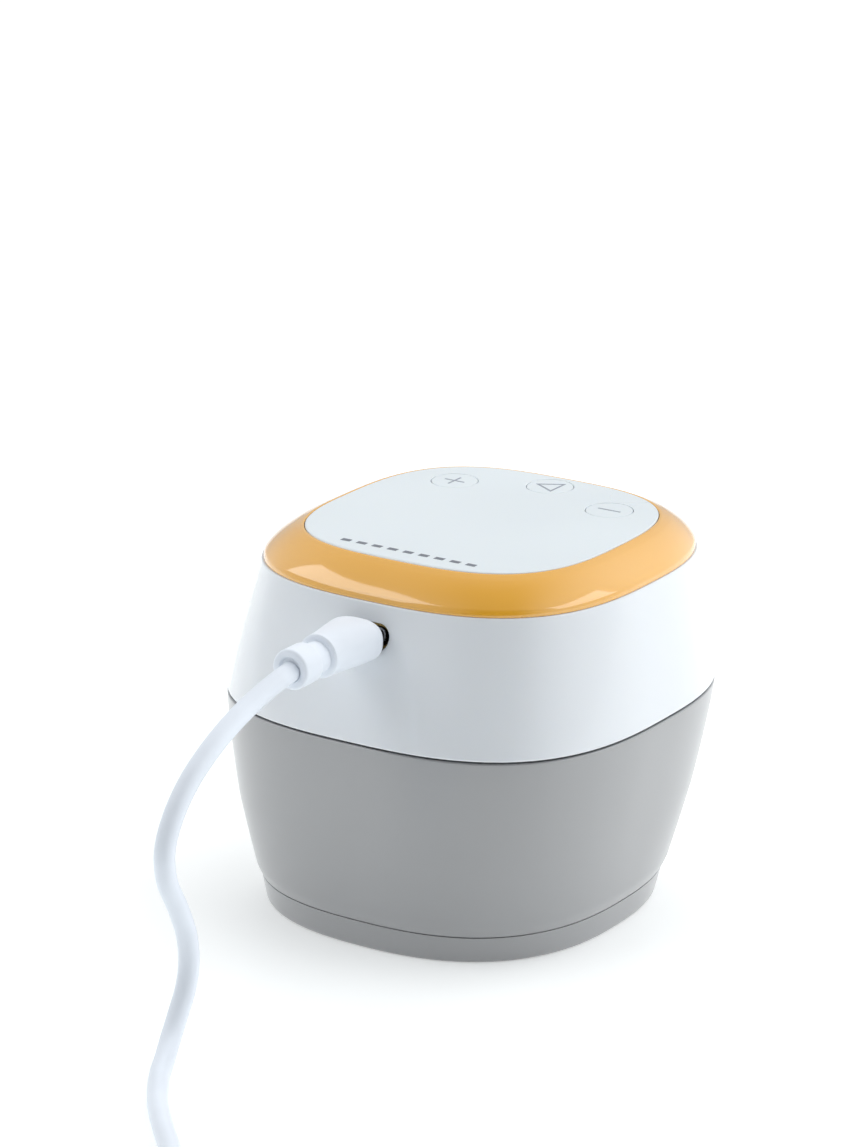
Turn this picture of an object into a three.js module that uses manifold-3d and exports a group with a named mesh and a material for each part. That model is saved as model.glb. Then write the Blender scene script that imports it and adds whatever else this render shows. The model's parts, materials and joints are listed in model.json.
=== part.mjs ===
// Electric breast pump motor unit with its charging lead.
// Millimetres. +Z up, z = 0 is the table. -Y is the user's side, +Y the rear with the charging
// port, +X the user's right. The casing is a rounded square in plan, widest at its seam.
import * as THREE from "three";
import { mergeVertices } from "three/addons/utils/BufferGeometryUtils.js";
import Module from "manifold-3d";

const wasm = await Module();
wasm.setup();

// ---- Driving dimensions -------------------------------------------------------------------
const GAP = 0.3; // between neighbouring solids
const WALL = 2.0; // casing wall
const FOOT_Z = 5.0; // top of the foot band
const SEAM_Z = 39.1; // where the grey and white casings meet
const SHOULDER_Z = 62.8; // where the white casing meets the orange ring
const FACE_Z = 68.5; // top panel
const BASE_HALF = 33.2; // half widths of the rounded square
const FOOT_HALF = 34.0;
const SEAM_HALF = 40.0;
const SHOULDER_HALF = 35.5;
const FACE_HALF = 28.3;
const LOWER_POWER = 1.26; // how the lower casing's side curves in
const UPPER_POWER = 1.19; // how the upper casing's side curves in
const SHELL_LIP = 0.4; // how far the lower casing overhangs the foot
const RING_POWERS = [1.5, 0.77]; // how the accent ring rounds over
const LEAN = [-0.1, -0.0003]; // the casing's lean per millimetre, and its curve
const SQUARENESS = [2.45, 0.35, 0.2]; // at the table, gained above the foot, gained over the ring
const SQUARENESS_RISE = 20; // height over which the foot's corners sharpen
const ROUND_SEGMENTS = 40; // casing facets
const FINE_SEGMENTS = 20; // small round pieces

// Keys on the top panel
const KEY_R = 4.2;
const KEY_HOLE_R = 4.5;
const KEY_FLANGE_R = 5.1;
const KEY_FLANGE_Z = [64.9, 66];
const STEM_R = 1.6; // a key's stem, its hole and its lower end over the switch
const STEM_HOLE_R = 2.2;
const STEM_Z = 59.05;
const KEYS = [
  ["plus", 16.5, -19.5],
  ["minus", -16.5, -19.5],
  ["play", 0, -26],
];

// Case screws
const SCREW_SPOTS = [
  [21.5, 22.5],
  [-21.5, 22.5],
  [-24.5, -14],
  [24.5, -14],
];
const BOSS_R = 2.6;

// Charging port, its socket and plug
const USB_Z = 57.4;
const USB_WIDTH = 10.4;
const USB_HEIGHT = 4.5;
const PLUG_FRONT_Y = 36.0;
const PLUG_REAR_Y = 48.6;
const COLLAR_Y = [51.6, 56.8];
const COLLAR_R = 3.6;
const PLUG_FRONT_HALF = [5.4, 3.7]; // the plug body's half width and height at its front
const PLUG_REAR_R = 3.9;
const PLUG_NECK = 0.72; // the neck's radius over the body's

// Tube port in the user's-right wall
const PORT_Y = 4;
const PORT_Z = 47.5;
const PORT_BORE_R = 4.2;
const PORT_R = 5.5;
const PORT_MOUTH_X = 39.6;

// Motor and pump
const MOTOR_Y = -11.5;
const MOTOR_Z = 24;
const MOTOR_R = 12;
const MOTOR_X = [-18.5, 5.5];
const THROW = 1.0; // crank pin offset
const CRANK_X = [MOTOR_X[1] + 4.7, MOTOR_X[1] + 7.7]; // crank bearing and rod
const PUMP_X = (CRANK_X[0] + CRANK_X[1]) / 2;
const PUMP_R = 10;
const CHAMBER_R = 7.6;
const FLANGE_Z = 37.7; // top of the crankcase flange
const HEAD_SCREW_PCR = 8.8; // radius of the head screws' circle

// Battery
const BATTERY_R = 9;
const BATTERY_LENGTH = 50;
const BATTERY_Y = 10.6;
const BATTERY_Z = 18.2;

// Release valve
const VALVE_X = -5;
const VALVE_Y = 19.5;
const VALVE_Z = [29, 45];

// Control board
const BOARD_Z = [54.4, 56.0];
const BOARD_SCREW_TIP_Z = 60;
const BOARD_SCREW_CLEARANCE_R = 1.1;

// Lead
const CORD_R = 1.8;
const COIL_CENTRE = [-12, 184];
const COIL_OUTER = 28.2;
const COIL_INNER = 12.6;
const COIL_HEIGHT = 7.6;
const CHARGER_Z = 4.2; // height of the far plug's axis
const CHARGER_X = 13.3; // where the far plug's collar begins

// The lead's route from the plug's collar to the coil, chosen by hand
const CORD_ROUTE = [
  [0, 57.1, 57.0],
  [0, 62.0, 56.2],
  [0, 68.3, 54.7],
  [0, 74.5, 52.6],
  [0, 80.5, 49.8],
  [0, 86.0, 46.2],
  [0, 90.3, 41.6],
  [0, 92.6, 36.6],
  [0, 92.2, 31.4],
  [0, 89.4, 25.8],
  [0, 87.1, 20.2],
  [0, 86.5, 15.2],
  [0, 87.6, 10.6],
  [0, 89.9, 6.6],
  [-0.6, 92.8, 3.6],
  [-2.6, 97.2, 2.0],
  [-5.3, 102.2, 1.8],
  [-8.6, 107.1, 1.8],
  [-12.2, 111.9, 1.8],
  [-17.4, 117.6, 1.8],
  [-22.7, 123.0, 1.8],
  [-28.0, 128.9, 1.8],
  [-32.4, 136.0, 1.8],
  [-35.6, 144.0, 1.8],
  [-37.6, 152.5, 1.8],
  [-38.2, 161.0, 1.8],
  [-38.2, 169.0, 1.8],
];
const TAIL_ROUTE = [
  [3.0, 210.2, 5.5],
  [6.0, 210.2, 5.2],
  [10.0, 210.2, 4.4],
  [CHARGER_X - GAP, 210.2, CHARGER_Z],
];

// ---- Colours ------------------------------------------------------------------------------
const WHITE = 0xeef1f3;
const CORD_WHITE = 0xdfe6ee;
const ORANGE = 0xe9ae57;
const GREY = 0x8f9092;
const DARK = 0x2b2c2e;
const STEEL = 0xb9bcc0;
const BRASS = 0xb89a5c;
const RUBBER = 0x3a3b3d;
const NATURAL = 0xd8d6cf;
const BLUE = 0x3f6ea8;
const GREEN = 0x24593c;
const COPPER = 0xb06b3f;

const unit = new THREE.Group();
unit.name = "breast_pump";

function add(name, geometry, color, roughness = 0.5, metalness = 0) {
  const paint = new THREE.MeshStandardMaterial({ color, roughness, metalness });
  const mesh = new THREE.Mesh(geometry, paint);
  mesh.name = name;
  unit.add(mesh);
  return mesh;
}

// ---- Solids: joining and cutting ----------------------------------------------------------
function toSolid(geometry) {
  const bare = geometry.clone();
  bare.deleteAttribute("normal");
  bare.deleteAttribute("uv");
  const merged = mergeVertices(bare, 1e-4);
  const corners = merged.index.array;
  const triVerts = [];
  for (let i = 0; i < corners.length; i += 3) {
    const [a, b, c] = [corners[i], corners[i + 1], corners[i + 2]];
    if (a !== b && b !== c && c !== a) triVerts.push(a, b, c);
  }
  return new wasm.Manifold(
    new wasm.Mesh({
      numProp: 3,
      vertProperties: merged.attributes.position.array,
      triVerts: new Uint32Array(triVerts),
    }),
  );
}

function toGeometry(solid) {
  const mesh = solid.getMesh();
  const geometry = new THREE.BufferGeometry();
  geometry.setAttribute("position", new THREE.BufferAttribute(mesh.vertProperties, 3));
  geometry.setIndex(new THREE.BufferAttribute(mesh.triVerts, 1));
  geometry.computeVertexNormals();
  return geometry;
}

function join(first, ...others) {
  return toGeometry(others.reduce((solid, g) => solid.add(toSolid(g)), toSolid(first)));
}

function cut(first, ...others) {
  return toGeometry(others.reduce((solid, g) => solid.subtract(toSolid(g)), toSolid(first)));
}

// ---- Solids: shapes -----------------------------------------------------------------------
function box([x0, x1], [y0, y1], [z0, z1]) {
  const geometry = new THREE.BoxGeometry(x1 - x0, y1 - y0, z1 - z0);
  return geometry.translate((x0 + x1) / 2, (y0 + y1) / 2, (z0 + z1) / 2);
}

// A round bar along X, Y or Z from a to b. The other two coordinates, in order, are its centre.
function bar(axis, r, [a, b], [u, v], segments = FINE_SEGMENTS) {
  const geometry = new THREE.CylinderGeometry(r, r, b - a, segments);
  geometry.translate(0, (a + b) / 2, 0);
  return placeTurned(geometry, axis, [u, v]);
}

// A closed outline of [radius, height] points turned about X, Y or Z.
function turned(axis, outline, [u, v] = [0, 0], segments = FINE_SEGMENTS) {
  const points = [...outline, outline[0]].map(([r, h]) => new THREE.Vector2(r, h));
  return placeTurned(new THREE.LatheGeometry(points, segments), axis, [u, v]);
}

// three.js turns about Y: lay that axis along the one asked for.
function placeTurned(geometry, axis, [u, v]) {
  if (axis === "x") return geometry.rotateZ(-Math.PI / 2).translate(0, u, v);
  if (axis === "y") return geometry.translate(u, 0, v);
  return geometry.rotateX(Math.PI / 2).translate(u, v, 0);
}

// A washer or tube: from radius r0 to r1 and from a to b along the axis.
function sleeve(axis, [r0, r1], [a, b], centre, segments = FINE_SEGMENTS) {
  const outline = [
    [r0, a],
    [r1, a],
    [r1, b],
    [r0, b],
  ];
  return turned(axis, outline, centre, segments);
}

// A round tube, solid or with a bore, swept along smooth points.
function swept(points, r, bore = 0, sides = 10, steps = 40) {
  const section = new THREE.Shape().absarc(0, 0, r, 0, Math.PI * 2);
  if (bore) section.holes.push(new THREE.Path().absarc(0, 0, bore, 0, Math.PI * 2, true));
  const path = new THREE.CatmullRomCurve3(points.map((p) => new THREE.Vector3(...p)));
  return new THREE.ExtrudeGeometry(section, {
    extrudePath: path,
    steps,
    curveSegments: sides,
  });
}

// ---- The casing's form --------------------------------------------------------------------
// Half width of the casing at a height.
function halfAt(z) {
  if (z <= FOOT_Z) return BASE_HALF + ((FOOT_HALF - BASE_HALF) * z) / FOOT_Z;
  if (z <= SEAM_Z) {
    const down = (SEAM_Z - z) / (SEAM_Z - FOOT_Z);
    return SEAM_HALF - (SEAM_HALF - FOOT_HALF - SHELL_LIP) * down ** LOWER_POWER;
  }
  if (z <= SHOULDER_Z) {
    const up = (z - SEAM_Z) / (SHOULDER_Z - SEAM_Z);
    return SEAM_HALF - (SEAM_HALF - SHOULDER_HALF) * up ** UPPER_POWER;
  }
  const over = Math.min(1, (z - SHOULDER_Z) / (FACE_Z - SHOULDER_Z));
  return FACE_HALF + (SHOULDER_HALF - FACE_HALF) * (1 - over ** RING_POWERS[0]) ** RING_POWERS[1];
}

// The casing leans a little towards the user: how far its centre lies along +Y at a height.
function leanAt(z) {
  const up = z - SEAM_Z;
  return LEAN[0] * up + LEAN[1] * up * up;
}

// Corner sharpness of the plan outline, from the rounder foot to the squarer top panel.
function squarenessAt(z) {
  const [low, gained, gainedOnTop] = SQUARENESS;
  const onTop = Math.max(0, (z - SHOULDER_Z) / (FACE_Z - SHOULDER_Z));
  return low + gained * Math.min(1, z / SQUARENESS_RISE) + gainedOnTop * onTop;
}

// A body of [half width, z] points turned about the axis, then pressed into the rounded square.
function casing(outline, segments = ROUND_SEGMENTS) {
  const geometry = turned("z", outline, [0, 0], segments);
  const spots = geometry.attributes.position;
  for (let i = 0; i < spots.count; i++) {
    const [x, y, z] = [spots.getX(i), spots.getY(i), spots.getZ(i)];
    const r = Math.hypot(x, y);
    if (r === 0) {
      spots.setY(i, leanAt(z));
      continue;
    }
    const n = squarenessAt(z);
    const stretch = (Math.abs(x / r) ** n + Math.abs(y / r) ** n) ** (-1 / n);
    spots.setXY(i, x * stretch, y * stretch + leanAt(z));
  }
  return geometry;
}

// The casing's side between two heights, inset from the outer face.
function sidePoints([z0, z1], inset, steps) {
  const points = [];
  for (let i = 0; i <= steps; i++) {
    const z = z0 + ((z1 - z0) * i) / steps;
    points.push([halfAt(z) - inset, z]);
  }
  return points;
}

// ---- Lower casing, foot and base ----------------------------------------------------------
const FLOOR_Z = [FOOT_Z + GAP, FOOT_Z + GAP + WALL];
const LOWER_TOP_Z = SEAM_Z - 0.1;
const REBATE_Z = 37.5; // the gasket's seat inside the rim

const FOOT_INNER = [28.5, 31]; // half widths inside the foot's lip and band
const FOOT_LIP_Z = 1.5;

function footRing() {
  const [lip, band] = FOOT_INNER;
  return casing([
    [lip, 0],
    [BASE_HALF - 1, 0],
    [BASE_HALF, 0.9],
    [FOOT_HALF, FOOT_Z],
    [band, FOOT_Z],
    [band, FOOT_LIP_Z],
    [lip, FOOT_LIP_Z],
  ]);
}

const BASE_Z = [FOOT_LIP_Z + GAP, FOOT_Z - GAP];
const COVER_HALF = FOOT_INNER[1] - GAP;
const SCREW_HEAD_R = 1.9;
const SCREW_R = 0.9;
const SCREW_HEAD_Z = [2.1, 3.2];
const SCREW_TIP_Z = 50;
const SCREW_CLEARANCE_R = 1.2;
const HEAD_RECESS_R = 2.3;

function baseCover() {
  const plate = casing([
    [0, BASE_Z[0]],
    [COVER_HALF, BASE_Z[0]],
    [COVER_HALF, BASE_Z[1]],
    [0, BASE_Z[1]],
  ]);
  const recesses = SCREW_SPOTS.map((at) => bar("z", HEAD_RECESS_R, [0, SCREW_HEAD_Z[1] + GAP], at));
  const holes = SCREW_SPOTS.map((at) => bar("z", SCREW_CLEARANCE_R, [0, FLOOR_Z[1]], at));
  return cut(plate, ...recesses, ...holes);
}

const RIM = 1; // the seam rim's thickness beside the gasket
const FLOOR_INNER = 26; // half width of the floor's opening under the chassis
const LOWER_BOSS_Z = 38.5;

function lowerHousing() {
  const outer = [[halfAt(FLOOR_Z[0] + 1) - 1, FLOOR_Z[0]]];
  outer.push(...sidePoints([FLOOR_Z[0] + 1, LOWER_TOP_Z], 0, 6));
  const inner = [
    [halfAt(LOWER_TOP_Z) - RIM, LOWER_TOP_Z],
    [halfAt(REBATE_Z) - RIM, REBATE_Z],
  ];
  inner.push(...sidePoints([REBATE_Z, FLOOR_Z[1]], WALL, 4));
  inner.push([FLOOR_INNER, FLOOR_Z[1]], [FLOOR_INNER, FLOOR_Z[0]]);
  const bosses = SCREW_SPOTS.map((at) => bar("z", BOSS_R, [FLOOR_Z[0], LOWER_BOSS_Z], at, 14));
  const bores = SCREW_SPOTS.map((at) => bar("z", SCREW_CLEARANCE_R + 0.1, [0, SEAM_Z], at, 10));
  return cut(join(casing([...outer, ...inner]), ...bosses), ...bores);
}

function caseScrew([x, y]) {
  return turned(
    "z",
    [
      [0, SCREW_HEAD_Z[0]],
      [SCREW_HEAD_R, SCREW_HEAD_Z[0]],
      [SCREW_HEAD_R, SCREW_HEAD_Z[1]],
      [SCREW_R, SCREW_HEAD_Z[1]],
      [SCREW_R, SCREW_TIP_Z - 1],
      [0, SCREW_TIP_Z],
    ],
    [x, y],
    14,
  );
}

function seamGasket() {
  const outer = halfAt(SEAM_Z) - RIM - GAP;
  const inner = outer - 0.6;
  const [low, high] = [REBATE_Z + GAP, UPPER_REBATE_Z - GAP];
  return casing([
    [inner, low],
    [outer, low],
    [outer, high],
    [inner, high],
  ]);
}

// ---- Upper casing, ring and top panel -----------------------------------------------------
const UPPER_Z = [SEAM_Z + 0.2, SHOULDER_Z];
const UPPER_REBATE_Z = 40.5;
const SHELF_Z = [60.8, SHOULDER_Z];
const SHELF_INNER = 24;
const UPPER_BOSS_Z = [SEAM_Z + GAP, SHELF_Z[1] - 0.5];
const POST_R = 2.4;
const BOARD_POSTS = [
  [28, -1.5],
  [-28, -1.5],
];

// An opening with half-round ends, cut along Y.
function portSlot([y0, y1], width, height) {
  const r = height / 2;
  const side = width / 2 - r;
  const slot = new THREE.Shape()
    .moveTo(-side, -r)
    .lineTo(side, -r)
    .absarc(side, 0, r, -Math.PI / 2, Math.PI / 2)
    .lineTo(-side, r)
    .absarc(-side, 0, r, Math.PI / 2, (3 * Math.PI) / 2);
  const geometry = new THREE.ExtrudeGeometry(slot, {
    depth: y1 - y0,
    bevelEnabled: false,
    curveSegments: 8,
  });
  return geometry.rotateX(Math.PI / 2).translate(0, y1, USB_Z);
}

function upperHousing() {
  const outer = sidePoints(UPPER_Z, 0, 5);
  const inner = [
    [SHELF_INNER, SHELF_Z[1]],
    [SHELF_INNER, SHELF_Z[0]],
  ];
  inner.push(...sidePoints([SHELF_Z[0], UPPER_REBATE_Z], WALL, 3));
  inner.push([halfAt(UPPER_REBATE_Z) - RIM, UPPER_REBATE_Z]);
  inner.push([halfAt(UPPER_Z[0]) - RIM, UPPER_Z[0]]);
  const bosses = SCREW_SPOTS.map((at) => bar("z", BOSS_R, UPPER_BOSS_Z, at, 14));
  const postZ = [BOARD_Z[1] + GAP, UPPER_BOSS_Z[1]];
  const posts = BOARD_POSTS.map((at) => bar("z", POST_R, postZ, at, 12));
  const boreZ = [REBATE_Z, SCREW_TIP_Z + 1];
  const bores = SCREW_SPOTS.map((at) => bar("z", SCREW_CLEARANCE_R, boreZ, at, 10));
  const postBoreZ = [BOARD_Z[0], BOARD_SCREW_TIP_Z + 0.5];
  const postBores = BOARD_POSTS.map((at) => bar("z", BOARD_SCREW_CLEARANCE_R, postBoreZ, at, 10));
  return cut(
    join(casing([...outer, ...inner]), ...bosses, ...posts),
    ...bores,
    ...postBores,
    ...KEYS.map(([, x, y]) => bar("z", STEM_HOLE_R, [60, 64], [x, y])),
    portSlot([30, SEAM_HALF], USB_WIDTH, USB_HEIGHT),
    bar("x", PORT_R + GAP, [30, 45], [PORT_Y, PORT_Z]),
  );
}

const PANEL_Z = 66.3; // underside of the top panel
const RING_INNER = 29.2; // half width inside the accent ring's skirt

function trimRing() {
  const low = SHOULDER_Z + GAP;
  const lipZ = PANEL_Z - GAP;
  const outer = sidePoints([low, FACE_Z - 0.2], 0, 5);
  const lip = [
    [FACE_HALF + GAP, FACE_Z],
    [FACE_HALF + GAP, lipZ],
  ];
  return casing([[RING_INNER, low], ...outer, ...lip, [RING_INNER, lipZ]]);
}

function facePanel() {
  const plate = casing([
    [0, PANEL_Z],
    [FACE_HALF - 0.2, PANEL_Z],
    [FACE_HALF, FACE_Z],
    [0, FACE_Z],
  ]);
  return cut(plate, ...KEYS.map(([, x, y]) => bar("z", KEY_HOLE_R, [60, 70], [x, y], 24)));
}

function key([x, y]) {
  const [low, high] = KEY_FLANGE_Z;
  return turned(
    "z",
    [
      [0, STEM_Z],
      [STEM_R, STEM_Z],
      [STEM_R, low],
      [KEY_FLANGE_R, low],
      [KEY_FLANGE_R, high],
      [KEY_R, high],
      [KEY_R, FACE_Z - 0.3],
      [KEY_R - 0.4, FACE_Z],
      [0, FACE_Z],
    ],
    [x, y],
    24,
  );
}

// ---- Tube port ----------------------------------------------------------------------------
const NIPPLE_Y = [1.2, 6.8];
const NIPPLE_R = 0.95;
const NIPPLE_BORE_R = 0.5;
const PORT_BACK_X = 26; // rear of the sleeve
const PORT_BOTTOM_X = 29.5; // bottom of its bore

function tubePort() {
  const socket = turned(
    "x",
    [
      [0, PORT_BACK_X],
      [PORT_R, PORT_BACK_X],
      [PORT_R, PORT_MOUTH_X],
      [PORT_BORE_R + 0.4, PORT_MOUTH_X],
      [PORT_BORE_R, PORT_MOUTH_X - 0.6],
      [PORT_BORE_R, PORT_BOTTOM_X],
      [0, PORT_BOTTOM_X],
    ],
    [PORT_Y, PORT_Z],
  );
  const nipples = NIPPLE_Y.map((y) => bar("x", NIPPLE_R, [21.5, PORT_BACK_X + 1], [y, PORT_Z], 14));
  const bores = NIPPLE_Y.map((y) => bar("x", NIPPLE_BORE_R, [20, 31], [y, PORT_Z], 10));
  return cut(join(socket, ...nipples), ...bores);
}

// ---- Chassis and battery ------------------------------------------------------------------
const CHASSIS_Z = [7.6, 8.9];
const CHASSIS_HALF = 31.5;
const DAMPER_R = 13.3;
const DAMPER_X = [-13, -7];

function chassis() {
  const plate = casing([
    [0, CHASSIS_Z[0]],
    [CHASSIS_HALF, CHASSIS_Z[0]],
    [CHASSIS_HALF, CHASSIS_Z[1]],
    [0, CHASSIS_Z[1]],
  ]);
  const low = CHASSIS_Z[1] - 0.5;
  const saddles = [-20, 17].map((x) => box([x, x + 3], [3, 19], [low, 15]));
  const cradle = box([DAMPER_X[0] + 1, DAMPER_X[1] - 1], [-22, 0], [low, 18]);
  const pedestal = box([7.5, 16], [-19, -4], [low, 11.7]);
  const tower = box([VALVE_X - 6, VALVE_X + 6], [21, 23.5], [low, VALVE_Z[0] - GAP]);
  const clearances = [
    bar("x", BATTERY_R + GAP, [-30, 30], [BATTERY_Y, BATTERY_Z], 36),
    bar("x", DAMPER_R + GAP, [-15, -4], [MOTOR_Y, MOTOR_Z], 36),
    ...SCREW_SPOTS.map((at) => bar("z", BOSS_R + GAP, [5, 20], at, 20)),
  ];
  return cut(join(plate, ...saddles, cradle, pedestal, tower), ...clearances);
}

function battery() {
  const half = BATTERY_LENGTH / 2;
  return turned(
    "x",
    [
      [0, -half],
      [BATTERY_R - 0.4, -half],
      [BATTERY_R, 0.4 - half],
      [BATTERY_R, half - 2.4],
      [BATTERY_R - 0.8, half - 2],
      [BATTERY_R - 0.8, half - 1],
      [3, half - 1],
      [3, half],
      [0, half],
    ],
    [BATTERY_Y, BATTERY_Z],
    28,
  );
}

// ---- Motor --------------------------------------------------------------------------------
const MOTOR_AXIS = [MOTOR_Y, MOTOR_Z];
const MAGNET_X = [MOTOR_X[0] + 4, MOTOR_X[1] - 3];

function motorCan() {
  const [back, front] = MOTOR_X;
  return turned(
    "x",
    [
      [MOTOR_R - 0.8, back],
      [MOTOR_R, back],
      [MOTOR_R, front - 0.6],
      [MOTOR_R - 0.6, front],
      [1.4, front],
      [1.4, front - 1.2],
      [MOTOR_R - 0.8, front - 1.2],
    ],
    MOTOR_AXIS,
    28,
  );
}

function motorBell() {
  const back = MOTOR_X[0];
  return turned(
    "x",
    [
      [1.4, back - 1.6],
      [4.0, back - 1.6],
      [4.0, back - GAP - 0.1],
      [MOTOR_R - 0.4, back - GAP - 0.1],
      [MOTOR_R - 0.4, back - GAP],
      [MOTOR_R - 1.1, back - GAP],
      [MOTOR_R - 1.1, back + 1],
      [1.4, back + 1],
    ],
    MOTOR_AXIS,
    28,
  );
}

function crankPin() {
  return [MOTOR_Y, MOTOR_Z + THROW];
}

const PIN_R = 2.5;

function eccentric() {
  const [back, front] = [CRANK_X[0] - 2.4, CRANK_X[1] + 0.2];
  const hub = bar("x", 3.4, [back, back + 2.1], MOTOR_AXIS);
  const pin = bar("x", PIN_R, [back + 1.7, front], crankPin());
  const weight = bar("x", 5.6, [back, back + 1.7], MOTOR_AXIS, 28);
  const upper = box([back - 1, front], [MOTOR_Y - 8, MOTOR_Y + 8], [MOTOR_Z, MOTOR_Z + 8]);
  return cut(join(hub, pin, cut(weight, upper)), bar("x", 1.1, [back - 1, front + 1], MOTOR_AXIS));
}

// ---- Diaphragm pump -----------------------------------------------------------------------
const PUMP_AXIS = [PUMP_X, MOTOR_Y];
const HEAD_SCREW_R = 0.55;
const HEAD_SCREW_HOLE_R = 0.8;
const ROD_PAD_Z = [36.5, FLANGE_Z];
const DIAPHRAGM_Z = [38.0, 39.2];
const DIAPHRAGM_ROLL = 0.7; // how far its fold rises between 4.4 and 7.2 from the axis

function headScrewSpots() {
  return [45, 225].map((degrees) => {
    const a = (degrees * Math.PI) / 180;
    return [PUMP_X + HEAD_SCREW_PCR * Math.cos(a), MOTOR_Y + HEAD_SCREW_PCR * Math.sin(a)];
  });
}

function screwHoles(z) {
  return headScrewSpots().map((at) => bar("z", HEAD_SCREW_HOLE_R, z, at, 12));
}

function crankcase() {
  const [x0, x1] = [MOTOR_X[1] + GAP, MOTOR_X[1] + 12.1];
  const y0 = MOTOR_Y - 9.5;
  const y1 = MOTOR_Y + 9.5;
  const frame = box([x0, x1], [y0, y1], [12, 36.8]);
  const flange = bar("z", PUMP_R, [36.3, FLANGE_Z], PUMP_AXIS, 28);
  return cut(
    join(frame, flange),
    box([x0 + 1.4, x1 - 1.4], [y0 - 1, y1 + 1], [14, 34.8]),
    bar("z", 6.2, [30, 40], PUMP_AXIS, 28),
    bar("x", 3.8, [x0 - 1, x0 + 2], MOTOR_AXIS),
    ...screwHoles([36, 40]),
  );
}

function connectingRod() {
  const [, z] = crankPin();
  const ring = bar("x", 6.0, CRANK_X, crankPin(), 24);
  const stem = box(CRANK_X, [MOTOR_Y - 1.7, MOTOR_Y + 1.7], [z + 4.8, ROD_PAD_Z[0] + 0.3]);
  const pad = bar("z", 3.6, ROD_PAD_Z, PUMP_AXIS);
  return cut(
    join(ring, stem, pad),
    bar("x", 4.6, [CRANK_X[0] - 1, CRANK_X[1] + 1], crankPin(), 24),
    bar("z", 0.85, [32.5, 40], PUMP_AXIS, 12),
  );
}

function diaphragm() {
  const [low, high] = DIAPHRAGM_Z;
  return cut(
    turned(
      "z",
      [
        [1.2, low],
        [4.4, low],
        [5.6, low + DIAPHRAGM_ROLL],
        [7.2, low],
        [PUMP_R, low],
        [PUMP_R, high],
        [7.2, high],
        [5.6, high + DIAPHRAGM_ROLL],
        [4.4, high],
        [1.2, high],
      ],
      PUMP_AXIS,
      24,
    ),
    ...screwHoles([37, 41]),
  );
}

function diaphragmScrew() {
  return turned(
    "z",
    [
      [0, 33],
      [0.65, 33],
      [0.65, 41.0],
      [1.8, 41.0],
      [1.8, 41.7],
      [1.2, 42.1],
      [0, 42.1],
    ],
    PUMP_AXIS,
    16,
  );
}

const FLAP_X = 3.9; // how far the flaps lie each side of the pump axis
const CHAMBER_Z = [39.5, 43.6];
const VALVE_PLATE_Z = [43.9, 45.2];
const HEAD_Z = [46.1, 50.4];
const NOZZLE_X = PUMP_X - FLAP_X;
const NOZZLE_Z = 48;

function valvePlate() {
  const plate = bar("z", PUMP_R, VALVE_PLATE_Z, PUMP_AXIS, 28);
  const ports = [];
  for (const side of [-1, 1]) {
    for (const offset of [-1.6, 1.6]) {
      ports.push(bar("z", 0.8, [43, 46], [PUMP_X + side * FLAP_X, MOTOR_Y + offset], 12));
    }
  }
  return cut(plate, ...ports, ...screwHoles([43, 46]));
}

function chamberRing() {
  const ring = sleeve("z", [CHAMBER_R, PUMP_R], CHAMBER_Z, PUMP_AXIS, 28);
  return cut(ring, ...screwHoles([39, 44]));
}

function flap(x) {
  return bar("z", 3.1, [VALVE_PLATE_Z[1] + 0.15, VALVE_PLATE_Z[1] + 0.55], [x, MOTOR_Y], 24);
}

function pumpHead() {
  const cap = bar("z", PUMP_R, HEAD_Z, PUMP_AXIS, 28);
  const nipple = bar("y", 1.0, [MOTOR_Y + 9, 1.6], [NOZZLE_X, NOZZLE_Z], 12);
  const rooms = [-1, 1].map((side) =>
    bar("z", 3.5, [45, 48.9], [PUMP_X + side * FLAP_X, MOTOR_Y], 24),
  );
  const vent = bar("x", 0.9, [PUMP_X + 5, 30], [MOTOR_Y, NOZZLE_Z], 12);
  const passage = bar("y", 0.55, [MOTOR_Y, 4], [NOZZLE_X, NOZZLE_Z], 10);
  return cut(join(cap, nipple), ...rooms, vent, passage, ...screwHoles([44, 52]));
}

function headScrew([x, y]) {
  const low = HEAD_Z[1] + 0.2;
  return turned(
    "z",
    [
      [0, 36.6],
      [HEAD_SCREW_R, 36.6],
      [HEAD_SCREW_R, low],
      [1.15, low],
      [1.15, low + 0.9],
      [0, low + 0.9],
    ],
    [x, y],
    12,
  );
}

// ---- Release valve ------------------------------------------------------------------------
const VALVE_AXIS = [VALVE_X, VALVE_Y];
const PLUNGER_R = 1.7;
const PLUNGER_Z = 30.5; // its sealing end
const ARMATURE_Z = [38.4, 39.4];
const SPRING_Z = [39.6, 43.2];
const SPRING_R = 2.2; // to the wire's centreline
const SPRING_TURNS = 4;
const RELEASE_Z = 41.5;

function valveFrame() {
  const [low, high] = VALVE_Z;
  const outer = box([VALVE_X - 6, VALVE_X + 6], [VALVE_Y - 4, VALVE_Y + 4], [low, high]);
  const window = box([VALVE_X - 4.8, VALVE_X + 4.8], [VALVE_Y - 5, VALVE_Y + 5], [low + 1.2, high - 1.2]);
  const nozzle = bar("x", 1.0, [VALVE_X + 5.5, VALVE_X + 11], [VALVE_Y, RELEASE_Z], 14);
  return cut(join(cut(outer, window), nozzle), bar("z", 1.0, [low - 1, low + 2], VALVE_AXIS, 16));
}

function valvePlunger() {
  const [low, high] = ARMATURE_Z;
  return turned(
    "z",
    [
      [0, PLUNGER_Z],
      [PLUNGER_R, PLUNGER_Z],
      [PLUNGER_R, low],
      [3.2, low],
      [3.2, high],
      [0, high],
    ],
    VALVE_AXIS,
    20,
  );
}

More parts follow.
